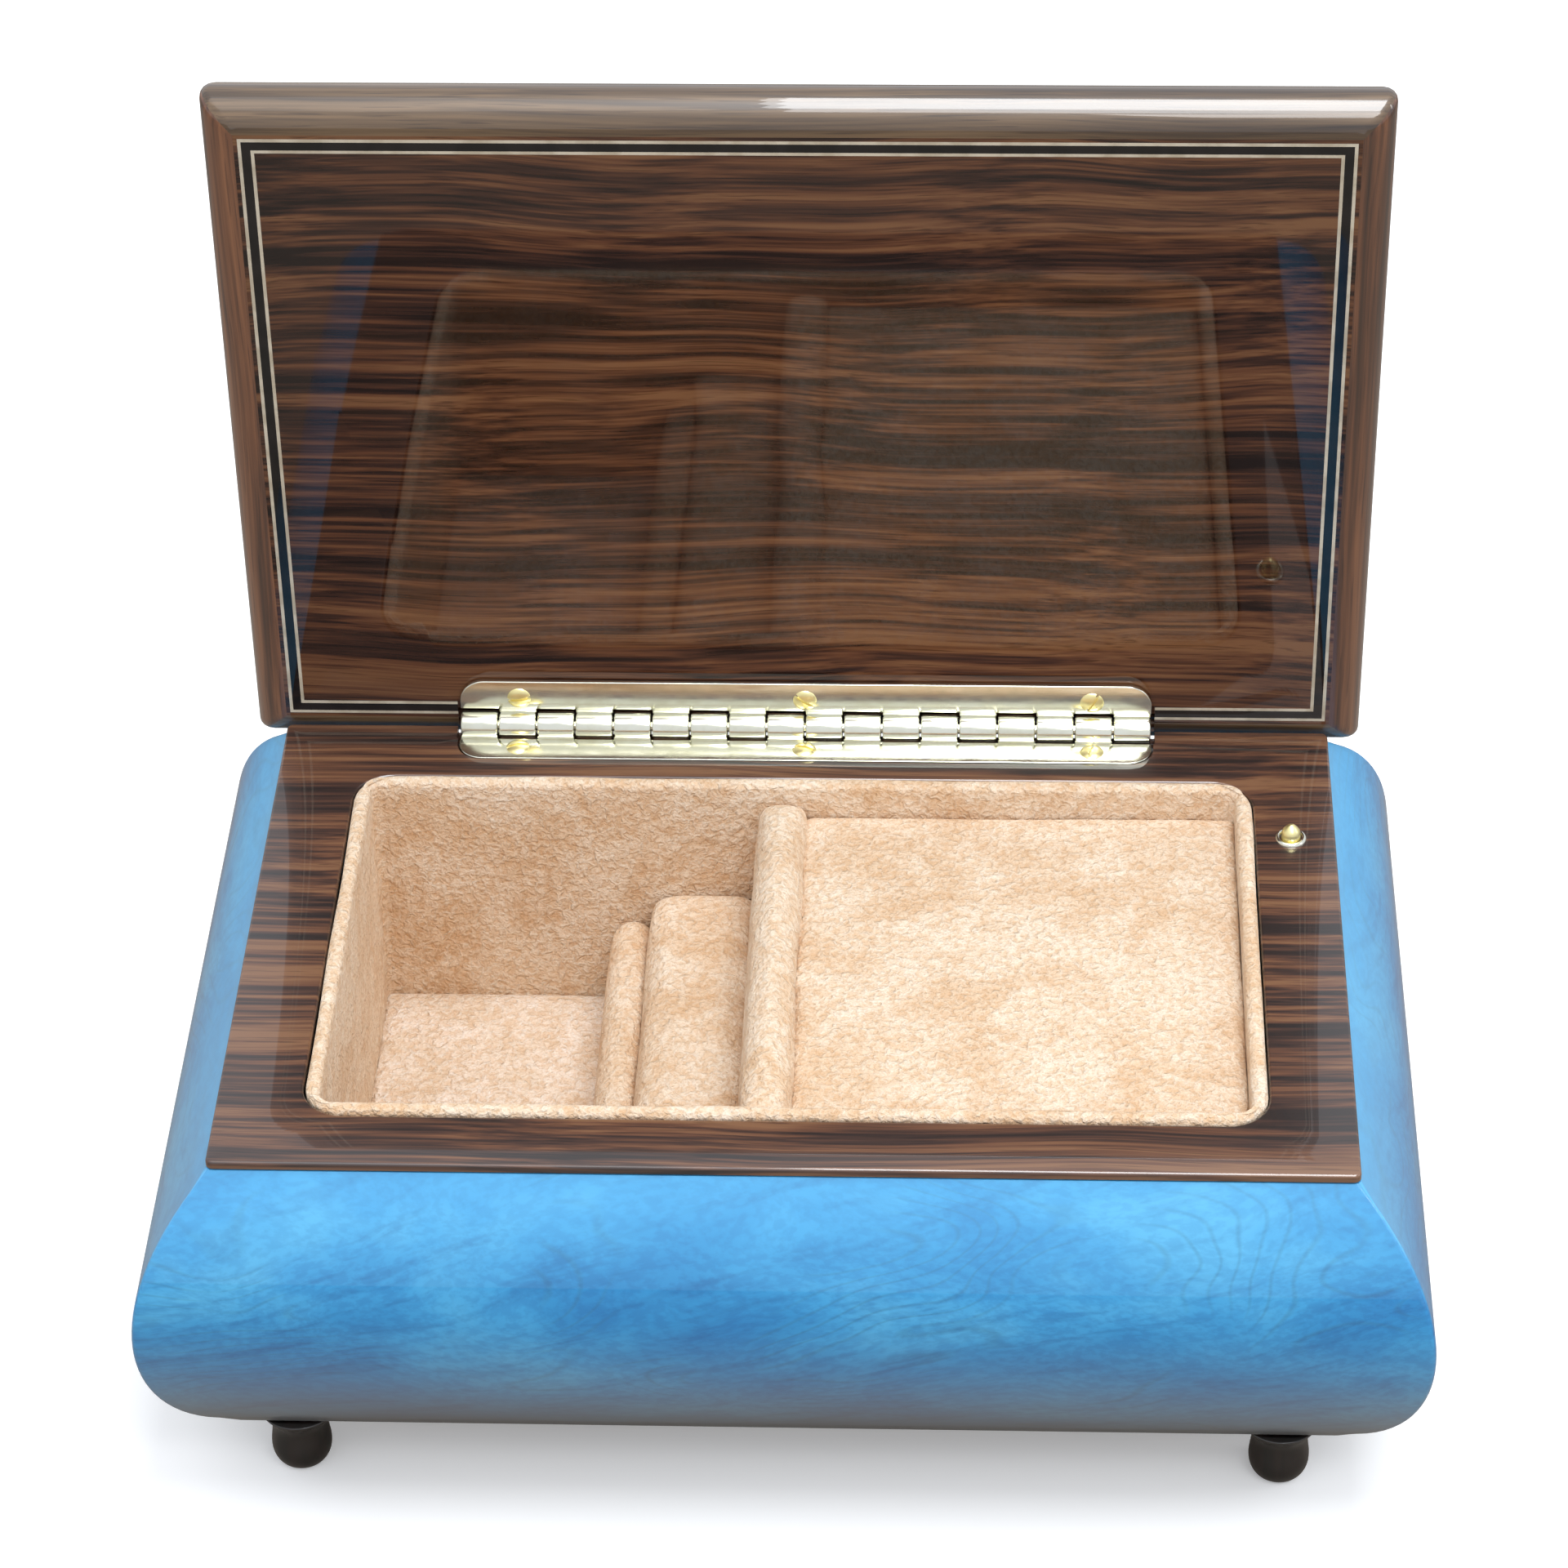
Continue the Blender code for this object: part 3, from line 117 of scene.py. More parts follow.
# %% Wire: a socket that can be added, multiplied and mixed
class Wire:
    """One output socket of a finish."""

    def __init__(self, socket):
        self.socket = socket
        self.tree = socket.id_data

    def add(self, kind, settings, values, output=0):
        """Adds a node of any kind: its settings first, then the values or wires of its sockets."""
        node = self.tree.nodes.new(kind)
        for name, setting in settings.items():
            if name == "stops":
                fill_ramp(node.color_ramp, setting)
            else:
                setattr(node, name, setting)
        for key, value in values.items():
            if isinstance(value, Wire):
                self.tree.links.new(value.socket, node.inputs[key])
            else:
                node.inputs[key].default_value = value
        return Wire(node.outputs[output])

    def sum(self, operation, first, second):
        return self.add("ShaderNodeMath", {"operation": operation}, {0: first, 1: second})

    def __add__(self, other):
        return self.sum("ADD", self, other)

    def __sub__(self, other):
        return self.sum("SUBTRACT", self, other)

    def __mul__(self, other):
        return self.sum("MULTIPLY", self, other)

    def __truediv__(self, other):
        return self.sum("DIVIDE", self, other)

    def __pow__(self, other):
        return self.sum("POWER", self, other)

    def __radd__(self, other):
        return self.sum("ADD", other, self)

    def __rsub__(self, other):
        return self.sum("SUBTRACT", other, self)

    def __rmul__(self, other):
        return self.sum("MULTIPLY", other, self)


def fill_ramp(ramp, stops):
    """Sets a colour ramp's stops from a list of (position, colour)."""
    while len(ramp.elements) < len(stops):
        ramp.elements.new(0.5)
    for element, (position, colour) in zip(ramp.elements, stops):
        element.position = position
        element.color = colour


def paint(red, green, blue):
    """A colour given on the usual 0 to 255 screen scale, turned into the linear light that shaders use."""
    def linear(level):
        share = level / 255
        return share / 12.92 if share <= 0.04045 else ((share + 0.055) / 1.055) ** 2.4
    return (linear(red), linear(green), linear(blue), 1.0)


def start_finish(name, **constants):
    """A new finish: its Principled shader, and the wire of Object coordinates that its patterns start from."""
    finish = bpy.data.materials.new(name)
    finish.use_nodes = True
    shader = finish.node_tree.nodes["Principled BSDF"]
    for socket, value in constants.items():
        shader.inputs[socket.replace("_", " ")].default_value = value
    place = Wire(finish.node_tree.nodes.new("ShaderNodeTexCoord").outputs["Object"])
    return finish, shader, place


def feed(shader, socket, wire):
    wire.tree.links.new(wire.socket, shader.inputs[socket])


def stretched(place, x, y, z):
    """The same coordinates, pulled by a factor along each axis."""
    return place.add("ShaderNodeVectorMath", {"operation": "MULTIPLY"}, {0: place, 1: (x, y, z)})


def grains(place, scale, detail=3.0, roughness=0.5, distortion=0.0):
    """Soft noise whose grains are 1 / scale metres across."""
    values = {"Vector": place, "Scale": scale, "Detail": detail, "Roughness": roughness, "Distortion": distortion}
    return place.add("ShaderNodeTexNoise", {}, values)


def ramp(wire, *stops):
    return wire.add("ShaderNodeValToRGB", {"stops": stops}, {0: wire})


def between(wire, low, high):
    """0 where the wire is at low, 1 where it is at high, and smooth between."""
    values = {"Value": wire, "From Min": low, "From Max": high}
    return wire.add("ShaderNodeMapRange", {"interpolation_type": "SMOOTHSTEP"}, values)


def mixed(share, first, second):
    """A colour between two others."""
    return share.add("ShaderNodeMix", {"data_type": "RGBA"}, {0: share, 6: first, 7: second}, output=2)


def tinted(share, first, second):
    """The first colour multiplied by the second, to a share."""
    settings = {"data_type": "RGBA", "blend_type": "MULTIPLY"}
    return share.add("ShaderNodeMix", settings, {0: share, 6: first, 7: second}, output=2)


def axes(place):
    """The three coordinates as separate wires."""
    parts = place.add("ShaderNodeSeparateXYZ", {}, {0: place})
    outputs = parts.socket.node.outputs
    return Wire(outputs[0]), Wire(outputs[1]), Wire(outputs[2])


def bumped(height, distance, strength=1.0):
    return height.add("ShaderNodeBump", {}, {"Strength": strength, "Distance": distance, "Height": height})


print("shader helpers ready")

# %% [markdown]
# ## Blue dyed burl
# The sides are covered with elm burl dyed sky blue. Burl has no straight grain: clouds of lighter and darker
# figure, with faint whorls in a few patches. The clouds are a noise that is bent by another before it is read. The
# whorls are a second noise folded back and forth, which draws closed lines. Fine lines and pores lie over both. The
# colour is painted paler near the top, a painted light where the curve faces up, and greyer near the bottom, a
# painted shade with a painted reflection of the floor. A clear coat on top is the polished lacquer.

# %% Burl veneer finish
LACQUER = {"Roughness": 0.42, "Coat_Weight": 1.0, "Coat_Roughness": 0.015, "Coat_IOR": 1.52}
MIRROR = {"Roughness": 0.03, "IOR": 1.52}


def burl_finish(name, turn):
    """turn is the axis that the veneer runs along: x on the front and back, y on the ends."""
    finish, shader, place = start_finish(name, **{**LACQUER, "Coat_Weight": 0.8})
    rise = (0.55, 1.0, 1.15) if turn == "x" else (1.0, 0.55, 1.15)
    sheared = place.add(
        "ShaderNodeMapping",
        {"vector_type": "POINT"},
        {"Vector": place, "Rotation": (0.0, 0.5, 0.0) if turn == "x" else (0.5, 0.0, 0.0), "Scale": rise},
    )
    swirl = sheared.add("ShaderNodeTexNoise", {}, {"Vector": sheared, "Scale": 30.0, "Detail": 2.0}, output=1)
    bent = sheared.add(
        "ShaderNodeVectorMath",
        {"operation": "MULTIPLY_ADD"},
        {0: swirl, 1: (0.016, 0.016, 0.016), 2: sheared},
    )
    clouds = grains(bent, 48.0, 4.0, 0.55)
    figure = grains(stretched(bent, 0.6, 0.6, 1.0), 34.0, 2.0, 0.35)
    whorls = place.add("ShaderNodeMath", {"operation": "PINGPONG"}, {0: figure * 30.0, 1: 0.5})
    patches = grains(place, 38.0, 1.0, 0.5)
    rings = between(whorls, 0.16, 0.0) * between(patches, 0.44, 0.58)
    lines = grains(stretched(bent, 0.2, 0.2, 1.0), 420.0, 3.0, 0.6)
    pores = grains(bent, 900.0, 3.0, 0.6)
    colour = ramp(
        clouds,
        (0.30, paint(30, 132, 196)),
        (0.45, paint(42, 148, 208)),
        (0.56, paint(58, 163, 220)),
        (0.70, paint(84, 182, 230)),
    )
    colour = mixed(rings * 0.3, colour, paint(50, 112, 146))
    colour = tinted(between(lines, 0.5, 0.3) * 0.5, colour, paint(158, 196, 214))
    colour = tinted(between(pores, 0.38, 0.62) * 0.5, colour, paint(186, 212, 228))
    height = axes(place)[2]
    # Painted light: the colour turns paler blue towards the top, where the curved side faces up.
    painted_top_light_share = 0.3 if turn == "x" else 0.6
    colour = mixed(between(height, 48.0 * MM, 70.0 * MM) * painted_top_light_share, colour, paint(110, 198, 246))
    # Painted shade: the colour turns duller grey-brown towards the bottom, standing in for shade and the floor's
    # reflection.
    colour = mixed(between(height, 48.0 * MM, 12.0 * MM) * 0.85, colour, paint(148, 138, 124))
    feed(shader, "Base Color", colour)
    return finish


BURL_LONG = burl_finish("blue_burl_long_sides", "x")
BURL_SHORT = burl_finish("blue_burl_short_sides", "y")
print("burl finishes:", BURL_LONG.name, BURL_SHORT.name)

# %% [markdown]
# ## Rosewood
# The rim and the lid are dark rosewood, nearly black between streaks of orange brown. Wood grain is noise that is
# stretched far along one axis, and a gentle bend across the streaks keeps them from looking ruled. The lid's edge
# strips are redder, and their grain runs along each edge, so the same recipe is turned for them.

# %% Rosewood finish
DARK_STREAK = paint(30, 19, 16)
DEEP_BROWN = paint(62, 39, 30)
WARM_BROWN = paint(98, 62, 42)
ORANGE_BROWN = paint(124, 86, 58)


def rosewood_finish(name, stretch, palette, tilt=0.0, wave=0.003, contrast=1.0):
    """stretch squeezes the axis that the grain runs along; tilt leans the polished face's reflections."""
    finish, shader, place = start_finish(name, **(MIRROR if tilt else LACQUER))
    drift = place.add("ShaderNodeTexNoise", {}, {"Vector": place, "Scale": 16.0, "Detail": 1.0}, output=1)
    bent = place.add(
        "ShaderNodeVectorMath", {"operation": "MULTIPLY_ADD"}, {0: drift, 1: (wave, wave, wave), 2: place}
    )
    along = stretched(bent, *stretch)
    longer = stretched(bent, *[factor ** 1.3 for factor in stretch])
    zones = grains(along, 75.0, 2.0, 0.5)
    bands = grains(longer, 250.0, 3.0, 0.6)
    threads = grains(longer, 1000.0, 3.0, 0.65)
    pores = grains(stretched(bent, *[factor ** 1.2 for factor in stretch]), 2600.0, 2.0, 0.5)
    level = ((zones - 0.5) * 0.5 + (bands - 0.5) * 0.75 + (threads - 0.5) * 0.5) * contrast + 0.5
    colour = ramp(level, (0.32, palette[0]), (0.45, palette[1]), (0.56, palette[2]), (0.70, palette[3]))
    colour = tinted(between(pores, 0.44, 0.32) * 0.5, colour, paint(120, 100, 92))
    feed(shader, "Base Color", colour)
    if tilt:
        height = axes(place)[2]
        feed(shader, "Normal", bumped(height, tilt))
    return finish


GRAIN_X = (0.045, 1.0, 1.0)
GRAIN_Z = (1.0, 1.0, 0.045)
FACE_LEAN = math.tan(math.radians(5.6))
FACE_TONES = (DARK_STREAK, DEEP_BROWN, WARM_BROWN, ORANGE_BROWN)
EDGE_TONES = (paint(58, 42, 28), paint(80, 60, 40), paint(100, 77, 52), paint(120, 94, 66))
SIDE_TONES = (paint(60, 36, 22), paint(84, 50, 30), paint(110, 68, 42), paint(136, 88, 56))
FACE_WOOD = rosewood_finish("rosewood_lid_face", GRAIN_X, FACE_TONES, FACE_LEAN, wave=0.008, contrast=1.15)
OUTER_WOOD = rosewood_finish("rosewood_lid_outside", GRAIN_X, FACE_TONES, wave=0.006, contrast=1.4)
RIM_WOOD = rosewood_finish("rosewood_rim", GRAIN_X, FACE_TONES, wave=0.006, contrast=1.3)
EDGE_WOOD = rosewood_finish("rosewood_lid_top_edge", GRAIN_X, EDGE_TONES)
SIDE_WOOD = rosewood_finish("rosewood_lid_side_edge", GRAIN_Z, SIDE_TONES)
print("rosewood finishes:", FACE_WOOD.name, RIM_WOOD.name, EDGE_WOOD.name, SIDE_WOOD.name)

# %% [markdown]
# ## Stringing, foot wood and plain wood
# The inlaid line on the lid is three thin strips: pale holly, black, pale holly, flush under the same lacquer.
# The feet are stained nearly black. The board underneath is left as plain softwood.


# %% Stringing and the plainer woods
def strip_finish(name, light, dark):
    """Very fine straight wood, for strips a millimetre wide."""
    finish, shader, place = start_finish(name, **MIRROR)
    fine = grains(stretched(place, 0.3, 1.0, 0.3), 900.0, 3.0)
    feed(shader, "Base Color", mixed(between(fine, 0.35, 0.65), dark, light))
    feed(shader, "Normal", bumped(axes(place)[2], FACE_LEAN))
    return finish


def turned_wood_finish():
    finish, shader, place = start_finish("stained_foot_wood", **LACQUER)
    grain = grains(stretched(place, 1.0, 1.0, 0.12), 500.0, 3.0)
    feed(shader, "Base Color", mixed(between(grain, 0.35, 0.65), paint(8, 5, 4), paint(27, 16, 13)))
    worn = grains(place, 300.0)
    feed(shader, "Roughness", between(worn, 0.3, 0.7) * 0.15 + 0.3)
    return finish


def softwood_finish():
    finish, shader, place = start_finish("plain_softwood", Roughness=0.65)
    rings = grains(stretched(place, 0.06, 1.0, 1.0), 180.0, 4.0, 0.6, 0.3)
    feed(shader, "Base Color", mixed(between(rings, 0.3, 0.7), paint(150, 112, 76), paint(196, 160, 118)))
    feed(shader, "Normal", bumped(rings, 0.15 * MM, 0.5))
    return finish


HOLLY = strip_finish("pale_stringing", paint(214, 204, 184), paint(190, 178, 156))
BLACK_STRIP = strip_finish("black_stringing", paint(26, 22, 22), paint(12, 10, 11))
FOOT_WOOD = turned_wood_finish()
SOFTWOOD = softwood_finish()
print("strip and plain finishes ready")

# %% [markdown]
# ## Velvet
# The tray is covered in short beige pile. Pile looks soft for two reasons: it glows where it is seen edge on,
# which is the shader's sheen, and the fibres lean in patches, so brushed areas are lighter or darker. The
# clouds are a wide noise, the fibres a very fine one that also drives the bump.


# %% Velvet finish
def velvet_finish(name, dark, light):
    finish, shader, place = start_finish(
        name, Roughness=1.0, Specular_IOR_Level=0.1, Sheen_Weight=0.35, Sheen_Roughness=0.45
    )
    shader.inputs["Sheen Tint"].default_value = paint(255, 236, 208)
    brushed = grains(place, 85.0, 4.0, 0.6, 0.8)
    tufts = grains(place, 820.0, 2.0, 0.5, 0.6)
    fibres = grains(place, 2200.0, 2.0, 0.6)
    colour = mixed(between(brushed, 0.36, 0.62), dark, light)
    colour = tinted(between(tufts, 0.6, 0.36) * 0.65, colour, paint(238, 219, 196))
    colour = tinted(between(fibres, 0.6, 0.35) * 0.5, colour, paint(232, 216, 196))
    feed(shader, "Base Color", colour)
    feed(shader, "Normal", bumped(fibres * 0.3 + tufts, 0.9 * MM, 1.0))
    return finish


VELVET = velvet_finish("brushed_beige_velvet", paint(232, 204, 174), paint(244, 226, 205))
# A paler copy of the same velvet: painted light, brightening the deep floor of the tray where less light reaches.
FLOOR_VELVET_PAINTED_LIGHT = velvet_finish("velvet_with_painted_light", paint(240, 222, 202), paint(250, 238, 226))
print("velvet finish:", VELVET.name)

# %% [markdown]
# ## Brass and steel
# Polished brass is a metal with a pale gold colour. Nothing handled for years is perfectly clean, so a wide noise
# makes slightly duller patches and a fine stretched one gives the polishing lines.


# %% Metal finishes
def metal_finish(name, clean, dull, smooth, rough):
    finish, shader, place = start_finish(name, Metallic=1.0)
    patches = grains(place, 160.0, 4.0, 0.6)
    lines = grains(stretched(place, 0.15, 1.0, 1.0), 2600.0, 2.0)
    feed(shader, "Base Color", mixed(between(patches, 0.35, 0.7), clean, dull))
    feed(shader, "Roughness", between(patches, 0.3, 0.75) * (rough - smooth) + smooth + (lines - 0.5) * 0.06)
    feed(shader, "Normal", bumped(lines, 0.02 * MM, 0.25))
    return finish


BRASS = metal_finish("polished_brass", paint(238, 237, 222), paint(226, 224, 204), 0.14, 0.26)
SCREW_BRASS = metal_finish("screw_brass", paint(252, 240, 182), paint(244, 228, 158), 0.3, 0.42)
STEEL = metal_finish("bright_steel", paint(196, 198, 204), paint(160, 162, 168), 0.16, 0.32)
print("metal finishes:", BRASS.name, SCREW_BRASS.name, STEEL.name)

# %% [markdown]
# ## Making a piece
# Each shape is built as a bmesh, which is a mesh that operators can work on, and is then handed to one function
# that makes the object, smooths its shading up to sharp corners, parents it to the body it moves with and hides
# the plain solids it stands for.


# %% Helpers for pieces
def make_piece(name, bm, finishes, body, stands_for=(), sharp=35):
    mesh = bpy.data.meshes.new(name)
    bm.to_mesh(mesh)
    bm.free()
    for finish in finishes:
        mesh.materials.append(finish)
    mesh.shade_smooth()
    mesh.set_sharp_from_angle(angle=math.radians(sharp))
    piece = bpy.data.objects.new(name, mesh)
    bpy.context.scene.collection.objects.link(piece)
    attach(piece, body)
    if stands_for:
        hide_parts(*stands_for)
    return piece


def add_block(bm, low, high):
    """A box between two opposite corners; returns its vertices."""
    low = Vector(low)
    high = Vector(high)
    place = Matrix.Translation((low + high) / 2) @ Matrix.Diagonal((*(high - low), 1.0))
    return bmesh.ops.create_cube(bm, size=1.0, matrix=place)["verts"]


def round_edges(bm, edges, width, segments=4):
    return bmesh.ops.bevel(
        bm, geom=list(edges), offset=width, segments=segments, profile=0.5, affect="EDGES", material=-1
    )


def flat_at(item, axis, value, near=0.01 * MM):
    """Whether all of an edge's or face's corners lie at one value of an axis."""
    return all(abs(v.co[axis] - value) < near for v in item.verts)


def add_rounded_sheet(bm, low, high, z, corner, segments):
    """A flat face with rounded corners; returns the edges round it and the face."""
    size = Vector(high) - Vector(low)
    middle = (Vector(low) + Vector(high)) / 2
    place = Matrix.Translation((*middle, z)) @ Matrix.Diagonal((*size, 1.0, 1.0))
    verts = bmesh.ops.create_grid(bm, x_segments=1, y_segments=1, size=0.5, matrix=place)["verts"]
    if corner:
        bmesh.ops.bevel(
            bm, geom=verts, offset=corner, segments=segments, profile=0.5, affect="VERTICES", material=-1
        )
    bm.faces.ensure_lookup_table()
    face = bm.faces[-1]
    return list(face.edges), face


def add_frame(bm, outer, inner, z_range, corners=(0, 0), segments=6):
    """A flat rectangular ring, thick from z_range[0] to z_range[1]; each rectangle is two opposite corners."""
    outer_edges, outer_face = add_rounded_sheet(bm, *outer, z_range[1], corners[0], segments)
    inner_edges, inner_face = add_rounded_sheet(bm, *inner, z_range[1], corners[1], segments)
    bmesh.ops.delete(bm, geom=[outer_face, inner_face], context="FACES_ONLY")
    ring = bmesh.ops.bridge_loops(bm, edges=outer_edges + inner_edges)["faces"]
    grown = bmesh.ops.extrude_face_region(bm, geom=ring)["geom"]
    lower = [item for item in grown if isinstance(item, bmesh.types.BMVert)]
    bmesh.ops.translate(bm, verts=lower, vec=(0, 0, z_range[0] - z_range[1]))
    bmesh.ops.recalc_face_normals(bm, faces=bm.faces)
    return lower


def rim_edges(bm, z):
    """The edges at a height where the surface turns sharply."""
    return [e for e in bm.edges if flat_at(e, 2, z) and e.calc_face_angle(0) > 0.8]


def add_turned(bm, profile, place, steps=40):
    """Spins a profile of (radius, height) points about the upright axis through a place."""
    verts = [bm.verts.new((radius, 0, height)) for radius, height in profile]
    edges = [bm.edges.new(pair) for pair in zip(verts, verts[1:])]
    before = set(bm.faces)
    bmesh.ops.spin(
        bm, geom=verts + edges, cent=(0, 0, 0), axis=(0, 0, 1), angle=2 * math.pi, steps=steps, use_merge=True
    )
    faces = [f for f in bm.faces if f not in before]
    ring = {v for f in faces for v in f.verts}
    bmesh.ops.remove_doubles(bm, verts=list(ring), dist=0.001 * MM)
    faces = [f for f in bm.faces if f not in before]
    bmesh.ops.recalc_face_normals(bm, faces=faces)
    ring = {v for f in faces for v in f.verts}
    bmesh.ops.transform(bm, matrix=place, verts=list(ring))
    return faces


def carve(piece, cutter_bm):
    """Cuts a shape out of a finished piece and keeps the result as its mesh."""
    mesh = bpy.data.meshes.new("cutter")
    cutter_bm.to_mesh(mesh)
    cutter_bm.free()
    cutter = bpy.data.objects.new("cutter", mesh)
    bpy.context.scene.collection.objects.link(cutter)
    cut = piece.modifiers.new("cut", "BOOLEAN")
    cut.operation = "DIFFERENCE"
    cut.object = cutter
    cut.solver = "EXACT"
    keep_modifiers(piece)
    bpy.data.objects.remove(cutter)


def keep_modifiers(piece, sharp=35):
    """Turns what the modifiers make into the piece's own mesh."""
    graph = bpy.context.evaluated_depsgraph_get()
    mesh = bpy.data.meshes.new_from_object(piece.evaluated_get(graph))
    piece.modifiers.clear()
    piece.data = mesh
    mesh.shade_smooth()
    mesh.set_sharp_from_angle(angle=math.radians(sharp))


print("piece helpers ready")

# %% [markdown]
# ## The curved sides
# Each side swells out by 12.4 mm at mid height, so the box looks inflated. Four boards are mitred at the
# corners and veneered. The shape starts as one plain box: its upright edges are cut into many rings, each ring
# moves outward by the arc's depth at that height, and the corners get a small round for the lacquer. Two cutting
# planes at 45 degrees then leave one side at a time, so each board keeps its own veneer and a true mitre.

# %% Curved sides
frame_low, frame_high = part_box("top_frame")
front_low, front_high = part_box("front_panel")
RIM_X = frame_high.x
RIM_Y = frame_high.y
SIDE_LOW = front_low.z
SIDE_TOP = front_high.z
BULGE = -front_low.y - RIM_Y
WALL = 9 * MM
SIDE_STEPS = 32
CORNER_ROUND = 1.0 * MM


def bulge_at(z):
    """How far the side stands out at a height: an arc of a circle through the top, the middle and the bottom."""
    half = (SIDE_TOP - SIDE_LOW) / 2
    radius = (half ** 2 + BULGE ** 2) / (2 * BULGE)
    return BULGE - radius + math.sqrt(max(radius ** 2 - (z - SIDE_LOW - half) ** 2, 0))


def bulged_shell():
    bm = bmesh.new()
    add_block(bm, (-RIM_X, -RIM_Y, SIDE_LOW), (RIM_X, RIM_Y, SIDE_TOP))
    upright = [e for e in bm.edges if abs(e.verts[0].co.z - e.verts[1].co.z) > MM]
    bmesh.ops.subdivide_edges(bm, edges=upright, cuts=SIDE_STEPS - 1, use_grid_fill=True)
    for vert in bm.verts:
        out = bulge_at(vert.co.z)
        vert.co.x += math.copysign(out, vert.co.x)
        vert.co.y += math.copysign(out, vert.co.y)
    corners = [e for e in bm.edges if abs(e.verts[0].co.z - e.verts[1].co.z) > 0.01 * MM]
    round_edges(bm, corners, CORNER_ROUND, 6)
    ends = [f for f in bm.faces if abs(f.normal.z) > 0.99]
    bmesh.ops.inset_region(bm, faces=ends, thickness=WALL, use_even_offset=True)
    ends = [f for f in ends if f.is_valid]
    loops = [e for f in ends for e in f.edges]
    bmesh.ops.delete(bm, geom=ends, context="FACES_ONLY")
    bmesh.ops.bridge_loops(bm, edges=loops)
    bmesh.ops.recalc_face_normals(bm, faces=bm.faces)
    return bm


def mitred_side(name, node, across, finish):
    """across is the sign and axis that the side faces, such as (-1, 'y') for the front."""
    sign, axis = across
    bm = bulged_shell()
    for other in (-1, 1):
        normal = Vector((other, -sign, 0)) if axis == "y" else Vector((-sign, other, 0))
        corner = (other * RIM_X, sign * RIM_Y, 0) if axis == "y" else (sign * RIM_X, other * RIM_Y, 0)
        everything = list(bm.verts) + list(bm.edges) + list(bm.faces)
        cut = bmesh.ops.bisect_plane(
            bm, geom=everything, plane_co=Vector(corner), plane_no=normal, clear_outer=True
        )
        edges = [item for item in cut["geom_cut"] if isinstance(item, bmesh.types.BMEdge)]
        bmesh.ops.holes_fill(bm, edges=edges, sides=0)
    side = make_piece(name, bm, [finish], "case", [node])
    print(name, "has", len(side.data.polygons), "faces")
    return side


mitred_side("front_side", "front_panel", (-1, "y"), BURL_LONG)
REAR_SIDE = mitred_side("rear_side", "rear_panel", (1, "y"), BURL_LONG)
mitred_side("left_side", "left_panel", (-1, "x"), BURL_SHORT)
mitred_side("right_side", "right_panel", (1, "x"), BURL_SHORT)

# %% [markdown]
# ## The rosewood rim
# A flat frame lies on the sides round the opening. Only its thin edge and its upper face show, polished flat, with
# the sharp edges just taken off. It is a ring bridged between two rounded rectangles, drawn down and bevelled.

# %% Rim
MORTISE_CORNER = 4.4 * MM
GROOVE_ROOM = 0.45 * MM
GROOVE_END = 0.6 * MM

lining_low, lining_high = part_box("velvet_lining")
RIM_THICKNESS = 1.3 * MM
OPENING_CORNER = 7 * MM
FIT = 0.3 * MM
opening = ((lining_low.x - FIT, lining_low.y - FIT), (lining_high.x + FIT, lining_high.y + FIT))
hinge_low, hinge_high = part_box("hinge_pin")
AXIS = (hinge_low + hinge_high) / 2
HINGE_HALF = hinge_high.x + FIT
BARREL = 2.5 * MM


def make_rim():
    bm = bmesh.new()
    top = frame_high.z
    outer = ((-RIM_X, -RIM_Y), (RIM_X, RIM_Y))
    add_frame(bm, outer, opening, (top - RIM_THICKNESS, top), (1.2 * MM, OPENING_CORNER), 8)
    round_edges(bm, rim_edges(bm, top), 0.5 * MM, 4)
    rim = make_piece("rosewood_rim", bm, [RIM_WOOD], "case", ["top_frame"])
    leaf_low, leaf_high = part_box("hinge_lower_leaf")
    mortise = bmesh.new()
    low = (leaf_low.x - FIT, leaf_low.y - FIT, leaf_low.z - FIT)
    add_block(mortise, low, (leaf_high.x + FIT, RIM_Y + 8 * MM, top + MM))
    corners = [
        e for e in mortise.edges
        if flat_at(e, 1, low[1]) and not flat_at(e, 2, low[2]) and not flat_at(e, 2, top + MM)
    ]
    round_edges(mortise, corners, MORTISE_CORNER, 12)
    carve(rim, mortise)
    sink_barrel(rim)
    return rim


def sink_barrel(piece):
    """Cuts the round groove that the hinge's knuckles lie in."""
    trough = bmesh.new()
    add_barrel(trough, -HINGE_HALF - GROOVE_END, HINGE_HALF + GROOVE_END, BARREL + GROOVE_ROOM, 0)
    carve(piece, trough)


def add_barrel(bm, left, right, radius, rounding):
    """A rod along X about the hinge axis, with its two ends slightly rounded."""
    place = Matrix.Translation(((left + right) / 2, AXIS.y, AXIS.z)) @ Matrix.Rotation(math.radians(90), 4, "Y")
    made = bmesh.ops.create_cone(
        bm, cap_ends=True, segments=40, radius1=radius, radius2=radius, depth=right - left, matrix=place
    )["verts"]
    if rounding:
        ends = {e for v in made for e in v.link_edges if flat_at(e, 0, left) or flat_at(e, 0, right)}
        round_edges(bm, ends, rounding, 3)


print("rim has", len(make_rim().data.polygons), "faces")
sink_barrel(REAR_SIDE)
REAR_SIDE.data.materials.append(RIM_WOOD)
for face in REAR_SIDE.data.polygons:
    if (Vector(face.center).yz - AXIS.yz).length < BARREL + 0.5 * MM:
        face.material_index = 1

# %% [markdown]
# ## The lid
# The lid is a thick board with a full bullnose all round, polished like the rest. The inner face has straight
# veneer, the top edge and the two ends carry strips with their own grain. It is one block with every edge rounded,
# and the faces are then given their finish by the way they look.

# %% Lid
lid_low, lid_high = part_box("lid_panel")
LID_ROUND = 5.6 * MM


